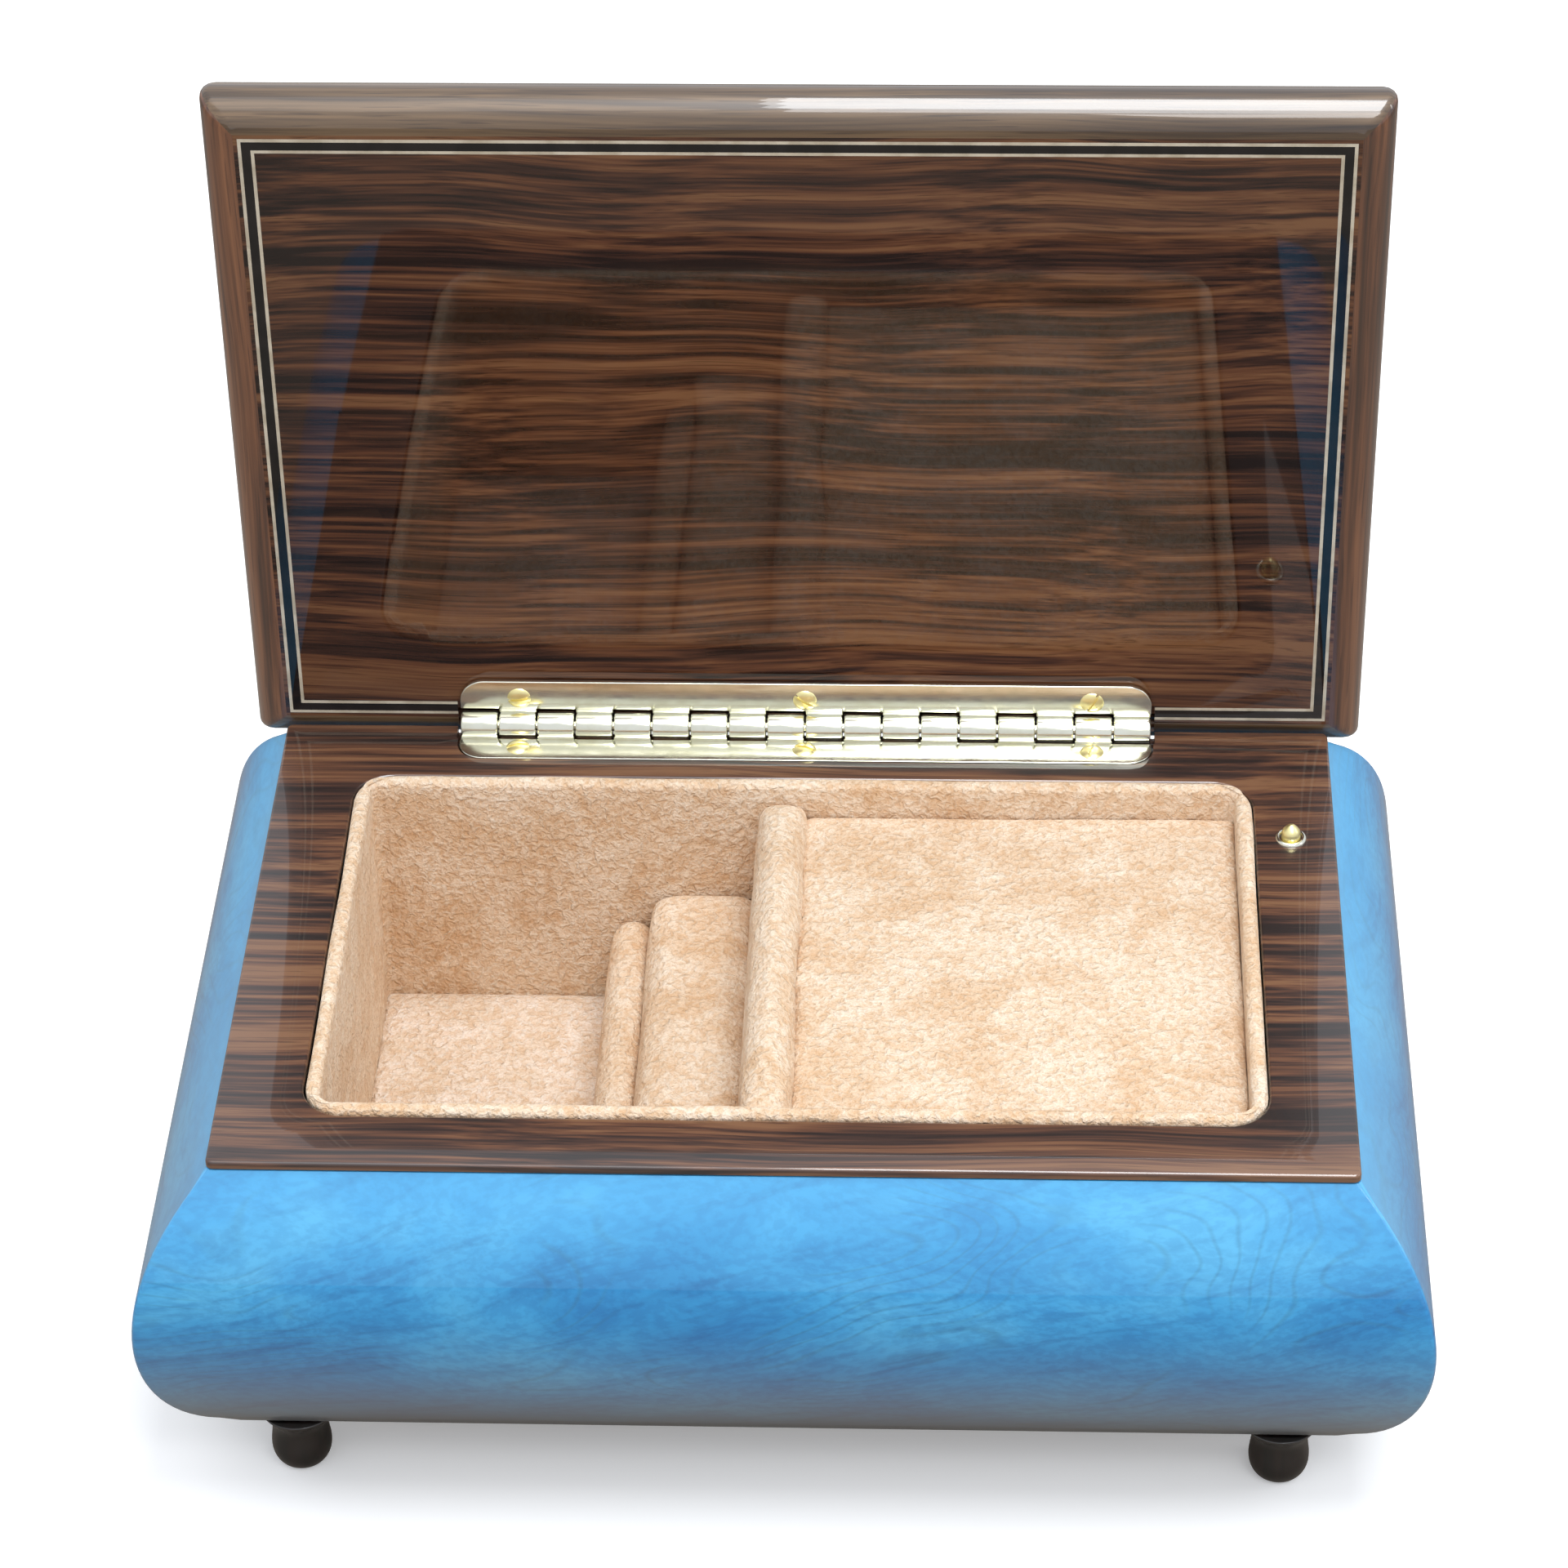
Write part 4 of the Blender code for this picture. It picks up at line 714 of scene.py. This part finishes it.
def make_lid():
    bm = bmesh.new()
    add_block(bm, lid_low, lid_high)
    outline = [e for e in bm.edges if abs(e.verts[0].co.y - e.verts[1].co.y) < MM]
    round_edges(bm, outline, LID_ROUND, 14)
    mitres = [
        e for e in bm.edges
        if e.calc_face_angle(0) > 0.25
        and all(abs(v.co.x) > lid_high.x - LID_ROUND for v in e.verts)
        and abs(e.verts[0].co.x - e.verts[1].co.x) + abs(e.verts[0].co.y - e.verts[1].co.y) > 0.01 * MM
    ]
    round_edges(bm, mitres, 1.6 * MM, 4)
    flat_x = lid_high.x - LID_ROUND
    flat_low = lid_low.z + LID_ROUND
    flat_high = lid_high.z - LID_ROUND
    for face in bm.faces:
        middle = face.calc_center_median()
        past_end = abs(middle.x) - flat_x
        past_top = max(middle.z - flat_high, flat_low - middle.z)
        if max(past_end, past_top) > 0.001 * MM:
            face.material_index = 3 if past_end > past_top else 2
        elif face.normal.y > 0:
            face.material_index = 1
    lid = make_piece(
        "lacquered_lid", bm, [FACE_WOOD, OUTER_WOOD, EDGE_WOOD, SIDE_WOOD], "lid", ["lid_panel"]
    )
    sink_barrel(lid)
    return lid


print("lid has", len(make_lid().data.polygons), "faces")

# %% [markdown]
# ## The inlaid line
# Three strips run side by side round the inner face: pale, black, pale. They lie flush, so on a mirror finish only
# their colour tells them from the wood. Each is a thin mitred ring, and all three stop at the hinge.

# %% Inlaid line
string_low, string_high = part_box("lid_stringing")
PALE_WIDTH = 0.55 * MM
STRING_WIDTH = 2.6 * MM
PROUD = 0.03 * MM
LID_FACE = lid_low.y
UPRIGHT = Matrix.Rotation(math.radians(90), 4, "X")


def make_inlay():
    bm = bmesh.new()
    steps = (0.0, PALE_WIDTH, STRING_WIDTH - PALE_WIDTH, STRING_WIDTH)
    for index in range(3):
        near, far = steps[index], steps[index + 1]
        outer = ((string_low.x + near, string_low.z + near), (string_high.x - near, string_high.z - near))
        inner = ((string_low.x + far, string_low.z + far), (string_high.x - far, string_high.z - far))
        before = set(bm.faces)
        add_frame(bm, outer, inner, (-LID_FACE - 0.4 * MM, -LID_FACE + PROUD))
        for face in set(bm.faces) - before:
            face.material_index = index % 2
    bmesh.ops.transform(bm, matrix=UPRIGHT, verts=bm.verts)
    stop = HINGE_HALF + 0.6 * MM
    for side in (-1, 1):
        everything = list(bm.verts) + list(bm.edges) + list(bm.faces)
        bmesh.ops.bisect_plane(bm, geom=everything, plane_co=(side * stop, 0, 0), plane_no=(1, 0, 0))
    low_run = [
        f for f in bm.faces
        if abs(f.calc_center_median().x) < stop and f.calc_center_median().z < string_low.z + 2 * STRING_WIDTH
    ]
    bmesh.ops.delete(bm, geom=low_run, context="FACES")
    bmesh.ops.holes_fill(bm, edges=[e for e in bm.edges if e.is_boundary], sides=0)
    bmesh.ops.recalc_face_normals(bm, faces=bm.faces)
    return make_piece("inlaid_line", bm, [HOLLY, BLACK_STRIP], "lid", ["lid_stringing"])


print("inlay has", len(make_inlay().data.polygons), "faces")

# %% [markdown]
# ## The piano hinge
# A long hinge joins lid and rim: two thin leaves with rolled knuckles that take turns along one pin. Each leaf
# starts as a plate whose free corners are rounded, and gets every second knuckle. The lid's leaf is made in the
# closed position like the other one, and is then turned up about the pin.

# %% Hinge leaves
KNUCKLES = 18
PITCH = 2 * HINGE_HALF / KNUCKLES
LEAF_NEAR = 1.5 * MM
LEAF_THICKNESS = 0.7 * MM
LEAF_CORNER = 4.2 * MM
SCREWS_X = (-49.4 * MM, 0.0, 49.4 * MM)


def add_leaf(bm, width, side, first):
    """side is -1 for the leaf below the pin and 1 for the one above it."""
    heights = sorted((side * LEAF_NEAR, side * (LEAF_NEAR - LEAF_THICKNESS)))
    low = (-HINGE_HALF, AXIS.y - width, AXIS.z + heights[0])
    high = (HINGE_HALF, AXIS.y - BARREL - FIT, AXIS.z + heights[1])
    verts = add_block(bm, low, high)
    edges = {e for v in verts for e in v.link_edges}
    corners = [e for e in edges if flat_at(e, 1, low[1]) and e.calc_length() < LEAF_THICKNESS * 1.1]
    round_edges(bm, corners, LEAF_CORNER, 12)
    outer = heights[1] if side < 0 else heights[0]
    round_edges(bm, rim_edges(bm, AXIS.z + outer), 0.18 * MM, 3)
    for index in range(first, KNUCKLES, 2):
        start = -HINGE_HALF + index * PITCH + FIT / 2
        end = start + PITCH - FIT
        add_barrel(bm, start, end, BARREL, 0.3 * MM)
        add_block(
            bm,
            (start, AXIS.y - BARREL - 1.2 * MM, AXIS.z + heights[0] + 0.02 * MM),
            (end, AXIS.y - 0.8 * MM, AXIS.z + heights[1] - 0.02 * MM),
        )


def lid_turn(degrees=-90.0):
    """The turn about the hinge pin that opens the lid."""
    return Matrix.Translation(AXIS) @ Matrix.Rotation(math.radians(degrees), 4, "X") @ Matrix.Translation(-AXIS)


leaf_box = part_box("hinge_lower_leaf")
lower = bmesh.new()
add_leaf(lower, AXIS.y - leaf_box[0].y, -1, 0)
make_piece("brass_leaf_lower", lower, [BRASS], "case", ["hinge_lower_leaf"])
upper = bmesh.new()
add_leaf(upper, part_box("hinge_upper_leaf")[1].z - AXIS.z, 1, 1)
bmesh.ops.transform(upper, matrix=lid_turn(), verts=upper.verts)
make_piece("brass_leaf_upper", upper, [BRASS], "lid", ["hinge_upper_leaf"])
print("hinge of", KNUCKLES, "knuckles,", round(PITCH / MM, 2), "mm each")

# %% [markdown]
# ## Slotted screws
# Each leaf is held by three brass wood screws with a low domed head and one slot. The head is turned from a
# profile. Two cuts mark the slot's edges, and the strip between them is pushed down.

# %% Screws
SLOT = 0.5 * MM
SLOT_DEPTH = 0.4 * MM
HEAD_GAP = 0.02 * MM


def make_screw(name, node, body, middle, flip, angle):
    """flip turns the screw to stand out of the lid; angle is how far round it stopped when it was driven."""
    bm = bmesh.new()
    profile = [
        (0.0, 0.6), (0.8, 0.54), (1.45, 0.38), (1.9, 0.14), (2.1, -0.1), (2.12, -0.3), (2.12, -0.6), (0.0, -0.6),
    ]
    points = [(r * MM, z * MM) for r, z in profile]
    add_turned(bm, points, Matrix.Identity(4), 36)
    for side in (-1, 1):
        everything = list(bm.verts) + list(bm.edges) + list(bm.faces)
        bmesh.ops.bisect_plane(bm, geom=everything, plane_co=(0, side * SLOT / 2, 0), plane_no=(0, 1, 0))
    strip = [
        f for f in bm.faces if abs(f.calc_center_median().y) < SLOT / 2 - 0.001 * MM and f.normal.z > 0.3
    ]
    grown = bmesh.ops.extrude_face_region(bm, geom=strip)["geom"]
    bmesh.ops.delete(bm, geom=[f for f in strip if f.is_valid], context="FACES")
    sunk = [item for item in grown if isinstance(item, bmesh.types.BMVert)]
    bmesh.ops.translate(bm, verts=sunk, vec=(0, 0, -SLOT_DEPTH))
    bmesh.ops.recalc_face_normals(bm, faces=bm.faces)
    place = Matrix.Translation(middle) @ flip @ Matrix.Rotation(math.radians(angle), 4, "Z")
    bmesh.ops.transform(bm, matrix=place, verts=bm.verts)
    make_piece(name, bm, [SCREW_BRASS], body, [node])


TO_FRONT = Matrix.Rotation(math.radians(90), 4, "X")
SCREW_TURNS = ((12, -20, 78), (8, -35, 60))
for number, x in enumerate(SCREWS_X):
    low_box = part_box(f"hinge_screw_lower_{number + 1}")
    up_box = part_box(f"hinge_screw_upper_{number + 1}")
    low_middle = Vector((x, (low_box[0].y + low_box[1].y) / 2, AXIS.z - LEAF_NEAR + LEAF_THICKNESS + HEAD_GAP))
    up_middle = Vector((x, AXIS.y + LEAF_NEAR - LEAF_THICKNESS - HEAD_GAP, (up_box[0].z + up_box[1].z) / 2))
    turns = SCREW_TURNS[0][number], SCREW_TURNS[1][number]
    make_screw(
        f"brass_screw_lower_{number + 1}", f"hinge_screw_lower_{number + 1}", "case", low_middle, Matrix(), turns[0]
    )
    make_screw(
        f"brass_screw_upper_{number + 1}", f"hinge_screw_upper_{number + 1}", "lid", up_middle, TO_FRONT, turns[1]
    )
print("six screws in two rows")

# %% [markdown]
# ## Feet
# The four feet are turned: a flared top against the box, a neck and a flattened ball that stands on the table. A
# profile is spun once round the upright axis, and a Subdivision Surface smooths the turned curves.

# %% Turned feet
FOOT_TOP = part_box("foot_front_left")[1].z
FOOT_PROFILE = (
    (0.0, FOOT_TOP / MM), (6.2, FOOT_TOP / MM), (6.5, 11.9), (6.1, 11.2), (5.0, 9.9), (4.6, 8.4), (4.65, 6.8),
    (4.9, 5.2), (5.05, 3.6), (4.8, 2.0), (4.1, 0.7), (3.1, 0.1), (2.8, 0.0), (0.0, 0.0),
)


def make_foot(node):
    low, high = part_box(node)
    middle = (low + high) / 2
    bm = bmesh.new()
    place = Matrix.Translation((middle.x, middle.y, 0))
    add_turned(bm, [(r * MM, z * MM) for r, z in FOOT_PROFILE], place, 24)
    foot = make_piece("turned_" + node, bm, [FOOT_WOOD], "case", [node], sharp=60)
    smooth = foot.modifiers.new("smooth", "SUBSURF")
    smooth.levels = smooth.render_levels = 2
    return foot


for foot_node in ("foot_front_left", "foot_front_right", "foot_rear_left", "foot_rear_right"):
    make_foot(foot_node)
print("four feet,", round(FOOT_TOP / MM, 1), "mm tall")

# %% [markdown]
# ## The velvet tray
# The opening is lined with card covered in velvet, whose padded edge stands just above the rim. Inside are a
# floor pad, two ring rolls, a padded divider and the covered board over the movement. Velvet over padding has no
# flat faces: it crowns a little, dips at its edges and is never quite even. Each block is cut fine and every point
# is moved a fraction of a millimetre by smooth noise. The block is then blown up as cloth with air in it, and each
# point is held close to where it was, because this is thin velvet over a firm board.


# %% Velvet lining
def waver(bm, amount, scale, seed):
    """Moves every point along its normal by smooth noise, as padding under cloth does."""
    bm.normal_update()
    shift = Vector((seed * 3.1, seed * 1.7, seed * 0.9))
    for vert in bm.verts:
        vert.co += vert.normal * (noise.noise(vert.co * scale + shift) * amount)


def make_lining():
    bm = bmesh.new()
    thick = 2.6 * MM
    outer = ((lining_low.x, lining_low.y), (lining_high.x, lining_high.y))
    inner = ((lining_low.x + thick, lining_low.y + thick), (lining_high.x - thick, lining_high.y - thick))
    add_frame(bm, outer, inner, (lining_low.z, lining_high.z), (OPENING_CORNER - FIT, 1.8 * MM), 8)
    round_edges(bm, rim_edges(bm, lining_high.z), 1.25 * MM, 6)
    long_edges = [e for e in bm.edges if e.calc_length() > 8 * MM]
    bmesh.ops.subdivide_edges(bm, edges=long_edges, cuts=20, use_grid_fill=True)
    waver(bm, 0.22 * MM, 60.0, 1)
    lining = make_piece("velvet_wall_lining", bm, [VELVET], "case", ["velvet_lining"], sharp=80)
    return lining


print("lining has", len(make_lining().data.polygons), "faces")


# %% Padded blocks
SNUG = 0.35 * MM
TIGHT = 0.95 * MM
SKIN_VOXEL = 1.5 * MM
SWELL_CAP = 0.35 * MM


def swell(piece, voxel, cap):
    """Blows a pad up as cloth with air in it, and holds each point within cap of where it started."""
    scene = bpy.context.scene
    remesh = piece.modifiers.new("even skin", "REMESH")
    remesh.mode = "VOXEL"
    remesh.voxel_size = voxel
    keep_modifiers(piece, 80)
    start = [v.co.copy() for v in piece.data.vertices]
    cloth = piece.modifiers.new("cloth", "CLOTH")
    cloth.settings.quality = 6
    cloth.settings.mass = 0.1
    cloth.settings.use_pressure = True
    cloth.settings.uniform_pressure_force = 4.0
    cloth.settings.effector_weights.gravity = 0.0
    cloth.point_cache.frame_start, cloth.point_cache.frame_end = 1, 20
    for frame in range(1, 21):
        scene.frame_set(frame)
    blown = piece.evaluated_get(bpy.context.evaluated_depsgraph_get()).data
    ends = [v.co.copy() for v in blown.vertices]
    piece.modifiers.remove(cloth)
    moved = 0.0
    for vert, before, after in zip(piece.data.vertices, start, ends):
        step = after - before
        moved = max(moved, step.length)
        vert.co = before + step * min(1.0, cap / max(step.length, 1e-9))
    scene.frame_set(1)
    smooth = piece.modifiers.new("smooth", "SUBSURF")
    smooth.levels = smooth.render_levels = 1
    print(piece.name, "swelled by up to", round(min(moved, cap) / MM, 2), "mm; free", round(moved / MM, 2))


def padded_block(
    name, node, rounding, crown, seed, cuts=22, spread=0.0, ends=0.0, finish=VELVET, snug=SNUG
):
    """A velvet-covered block with an uneven surface.

    crown lifts the middle of its top, spread widens its foot to the left, ends rounds its two rear corners,
    and snug is how far it presses into its neighbours.
    """
    low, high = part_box(node)
    low.xy -= Vector((snug, snug))
    high.xy += Vector((snug, snug))
    bm = bmesh.new()
    add_block(bm, low, high)
    middle = (low + high) / 2
    if ends:
        rear_corners = [e for e in bm.edges if flat_at(e, 1, high.y) and flat_at(e, 0, e.verts[0].co.x)]
        round_edges(bm, rear_corners, ends, 8)
    round_edges(bm, rim_edges(bm, high.z), rounding, 6)
    long_edges = [e for e in bm.edges if e.calc_length() > 6 * MM]
    bmesh.ops.subdivide_edges(bm, edges=long_edges, cuts=cuts, use_grid_fill=True)
    half = (high - low) / 2
    for vert in bm.verts:
        across = (vert.co.x - middle.x) / half.x
        along = (vert.co.y - middle.y) / half.y
        lift = max((vert.co.z - low.z) / (high.z - low.z), 0.0) ** 4
        vert.co.z += crown * lift * ((1 - across ** 2) * (1 - along ** 4) - 1)
        if vert.co.x < middle.x:
            vert.co.x -= spread * (1 - (vert.co.z - low.z) / (high.z - low.z))
    waver(bm, 0.2 * MM, 75.0, seed)
    block = make_piece(name, bm, [finish], "case", [node], sharp=80)
    swell(block, SKIN_VOXEL, SWELL_CAP)
    print(name, "has", len(block.data.polygons), "faces")
    return block


# The floor pad takes the paler velvet copy, painted light for the deep compartment.
padded_block("velvet_floor_pad", "floor_pad", 0.8 * MM, 0.35 * MM, 2, finish=FLOOR_VELVET_PAINTED_LIGHT, snug=TIGHT)
padded_block("velvet_roll_wide", "ring_roll_wide", 3.0 * MM, 0.9 * MM, 3, ends=3.6 * MM)
padded_block("velvet_roll_narrow", "ring_roll_narrow", 2.7 * MM, 0.6 * MM, 4, spread=1.8 * MM, ends=3.1 * MM)
padded_block("velvet_divider", "divider", 3.8 * MM, 0.3 * MM, 5)
padded_block("velvet_movement_cover", "movement_cover", 0.7 * MM, 0.25 * MM, 6, snug=TIGHT)

# %% [markdown]
# ## The stop pin
# A small brass pin stands in a bush on the right of the rim. The closing lid pushes it down, and that stops the
# music. Both are turned.

# %% Stop pin and bush
pin_low, pin_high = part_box("stop_pin")
bush_low, bush_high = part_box("stop_pin_bush")
PIN_PLACE = Vector(((pin_low.x + pin_high.x) / 2, (pin_low.y + pin_high.y) / 2, frame_high.z))
pin_bm = bmesh.new()
tip = (pin_high.z - frame_high.z) / MM
foot = (pin_low.z - frame_high.z) / MM
pin_profile = [
    (0.0, tip), (0.3, tip - 0.04), (0.62, tip - 0.25), (1.2, tip - 0.85), (1.5, tip - 1.3), (1.6, tip - 1.7),
    (1.6, foot + 0.5), (1.1, foot), (0.0, foot),
]
add_turned(pin_bm, [(r * MM, z * MM) for r, z in pin_profile], Matrix.Translation(PIN_PLACE), 36)
make_piece("brass_stop_pin", pin_bm, [SCREW_BRASS], "stop_pin_body", ["stop_pin"])
bush_bm = bmesh.new()
bush_foot = (bush_low.z - frame_high.z) / MM
bush_profile = [
    (1.9, 0.3), (2.0, 0.45), (2.2, 0.5), (2.4, 0.42), (2.58, 0.2), (2.6, 0.0), (2.6, bush_foot), (1.9, bush_foot),
    (1.9, 0.3),
]
add_turned(bush_bm, [(r * MM, z * MM) for r, z in bush_profile], Matrix.Translation(PIN_PLACE), 36)
make_piece("brass_bush", bush_bm, [BRASS], "case", ["stop_pin_bush"])
print("pin stands", round(tip, 2), "mm above the rim")

# %% [markdown]
# ## Pieces that keep their shape
# The board underneath, the key and the whole movement keep the frame's own meshes. Only their finish changes:
# each node's material slots are filled again by what the node is made of.

# %% Finishes for the kept pieces
STEEL_NODES = (
    "cylinder_shaft", "comb", "comb_screw_1", "comb_screw_2", "winding_arbor", "stop_lever",
    "movement_screw_1", "movement_screw_2", "movement_screw_3",
)
WOOD_NODES = ("bottom_board", "cover_ledge_front", "cover_ledge_rear")


def refinish():
    count = 0
    for name, node in NODES.items():
        if node.hide_render:
            continue
        finish = STEEL if name in STEEL_NODES else SOFTWOOD if name in WOOD_NODES else BRASS
        for slot in node.material_slots:
            slot.material = finish
        count += 1
    return count


print("refinished", refinish(), "kept pieces")

# %% [markdown]
# ## Floor, sky and lamps
# The box stands on a plain pale floor in soft light from all round, because a mirror lacquer shows whatever is
# near it: white surroundings give it clean pale reflections. The floor is pale to the camera and darker to
# reflections, so that the polished wood is not washed out. Two wide lamps hang overhead, one of them to the left. A
# third, over the right, shows only in glints and draws the line of light along the lid's top edge. Two small lamps,
# at the front right and at the right, model the curves.


# %% Floor and light
def make_floor():
    bm = bmesh.new()
    bmesh.ops.create_grid(bm, x_segments=1, y_segments=1, size=3.0)
    mesh = bpy.data.meshes.new("floor")
    bm.to_mesh(mesh)
    bm.free()
    floor = bpy.data.objects.new("floor", mesh)
    bpy.context.scene.collection.objects.link(floor)
    finish, shader, place = start_finish("pale_floor", Roughness=0.9, Specular_IOR_Level=0.0)
    seen = Wire(finish.node_tree.nodes.new("ShaderNodeLightPath").outputs["Is Camera Ray"])
    pale = mixed(grains(place, 6.0), paint(250, 250, 250), paint(254, 254, 254))
    feed(shader, "Base Color", mixed(seen, paint(150, 142, 132), pale))
    feed(shader, "Emission Color", mixed(seen, (0.0, 0.0, 0.0, 1.0), (0.22, 0.22, 0.22, 1.0)))
    shader.inputs["Emission Strength"].default_value = 1.0
    mesh.materials.append(finish)


def make_sky(strength, colour):
    world = bpy.data.worlds.new("soft_sky")
    world.use_nodes = True
    background = world.node_tree.nodes["Background"]
    background.inputs["Color"].default_value = colour
    background.inputs["Strength"].default_value = strength
    bpy.context.scene.world = world


def make_lamp(name, place, target, size, power, colour=(1.0, 1.0, 1.0), glints_only=False):
    lamp = bpy.data.lights.new(name, "AREA")
    lamp.shape = "RECTANGLE"
    lamp.size, lamp.size_y = size
    lamp.energy = power
    lamp.color = colour
    holder = bpy.data.objects.new(name, lamp)
    bpy.context.scene.collection.objects.link(holder)
    holder.visible_diffuse = not glints_only
    away = Vector(place) - Vector(target)
    holder.matrix_world = Matrix.Translation(place) @ away.to_track_quat("Z", "Y").to_matrix().to_4x4()
    return holder


make_floor()
make_sky(0.9, paint(244, 248, 255))
make_lamp("overhead_lamp", (0.2, -0.1, 1.15), (0.2, -0.1, 0.0), (0.5, 0.7), 6.6, (0.95, 0.98, 1.0))
make_lamp("overhead_wide_lamp", (-0.35, -0.3, 1.3), (0, 0, 0.0), (0.9, 0.8), 2.2, (1.0, 0.98, 0.96))
make_lamp("lid_edge_glint", (0.21, -0.2, 1.15), (0.21, -0.1, 0.0), (0.5, 1.0), 10.0, (0.92, 0.96, 1.0), True)
make_lamp("front_lamp", (0.36, -0.72, 1.0), (0, 0, 0.05), (0.42, 0.2), 1.8, (0.98, 0.99, 1.0))
make_lamp("right_lamp", (1.0, -0.05, 0.6), (0.1, -0.05, 0.06), (0.1, 0.5), 1.0, (0.98, 0.99, 1.0))
bpy.context.scene.view_settings.view_transform = "Standard"
print("floor, sky and five lamps")
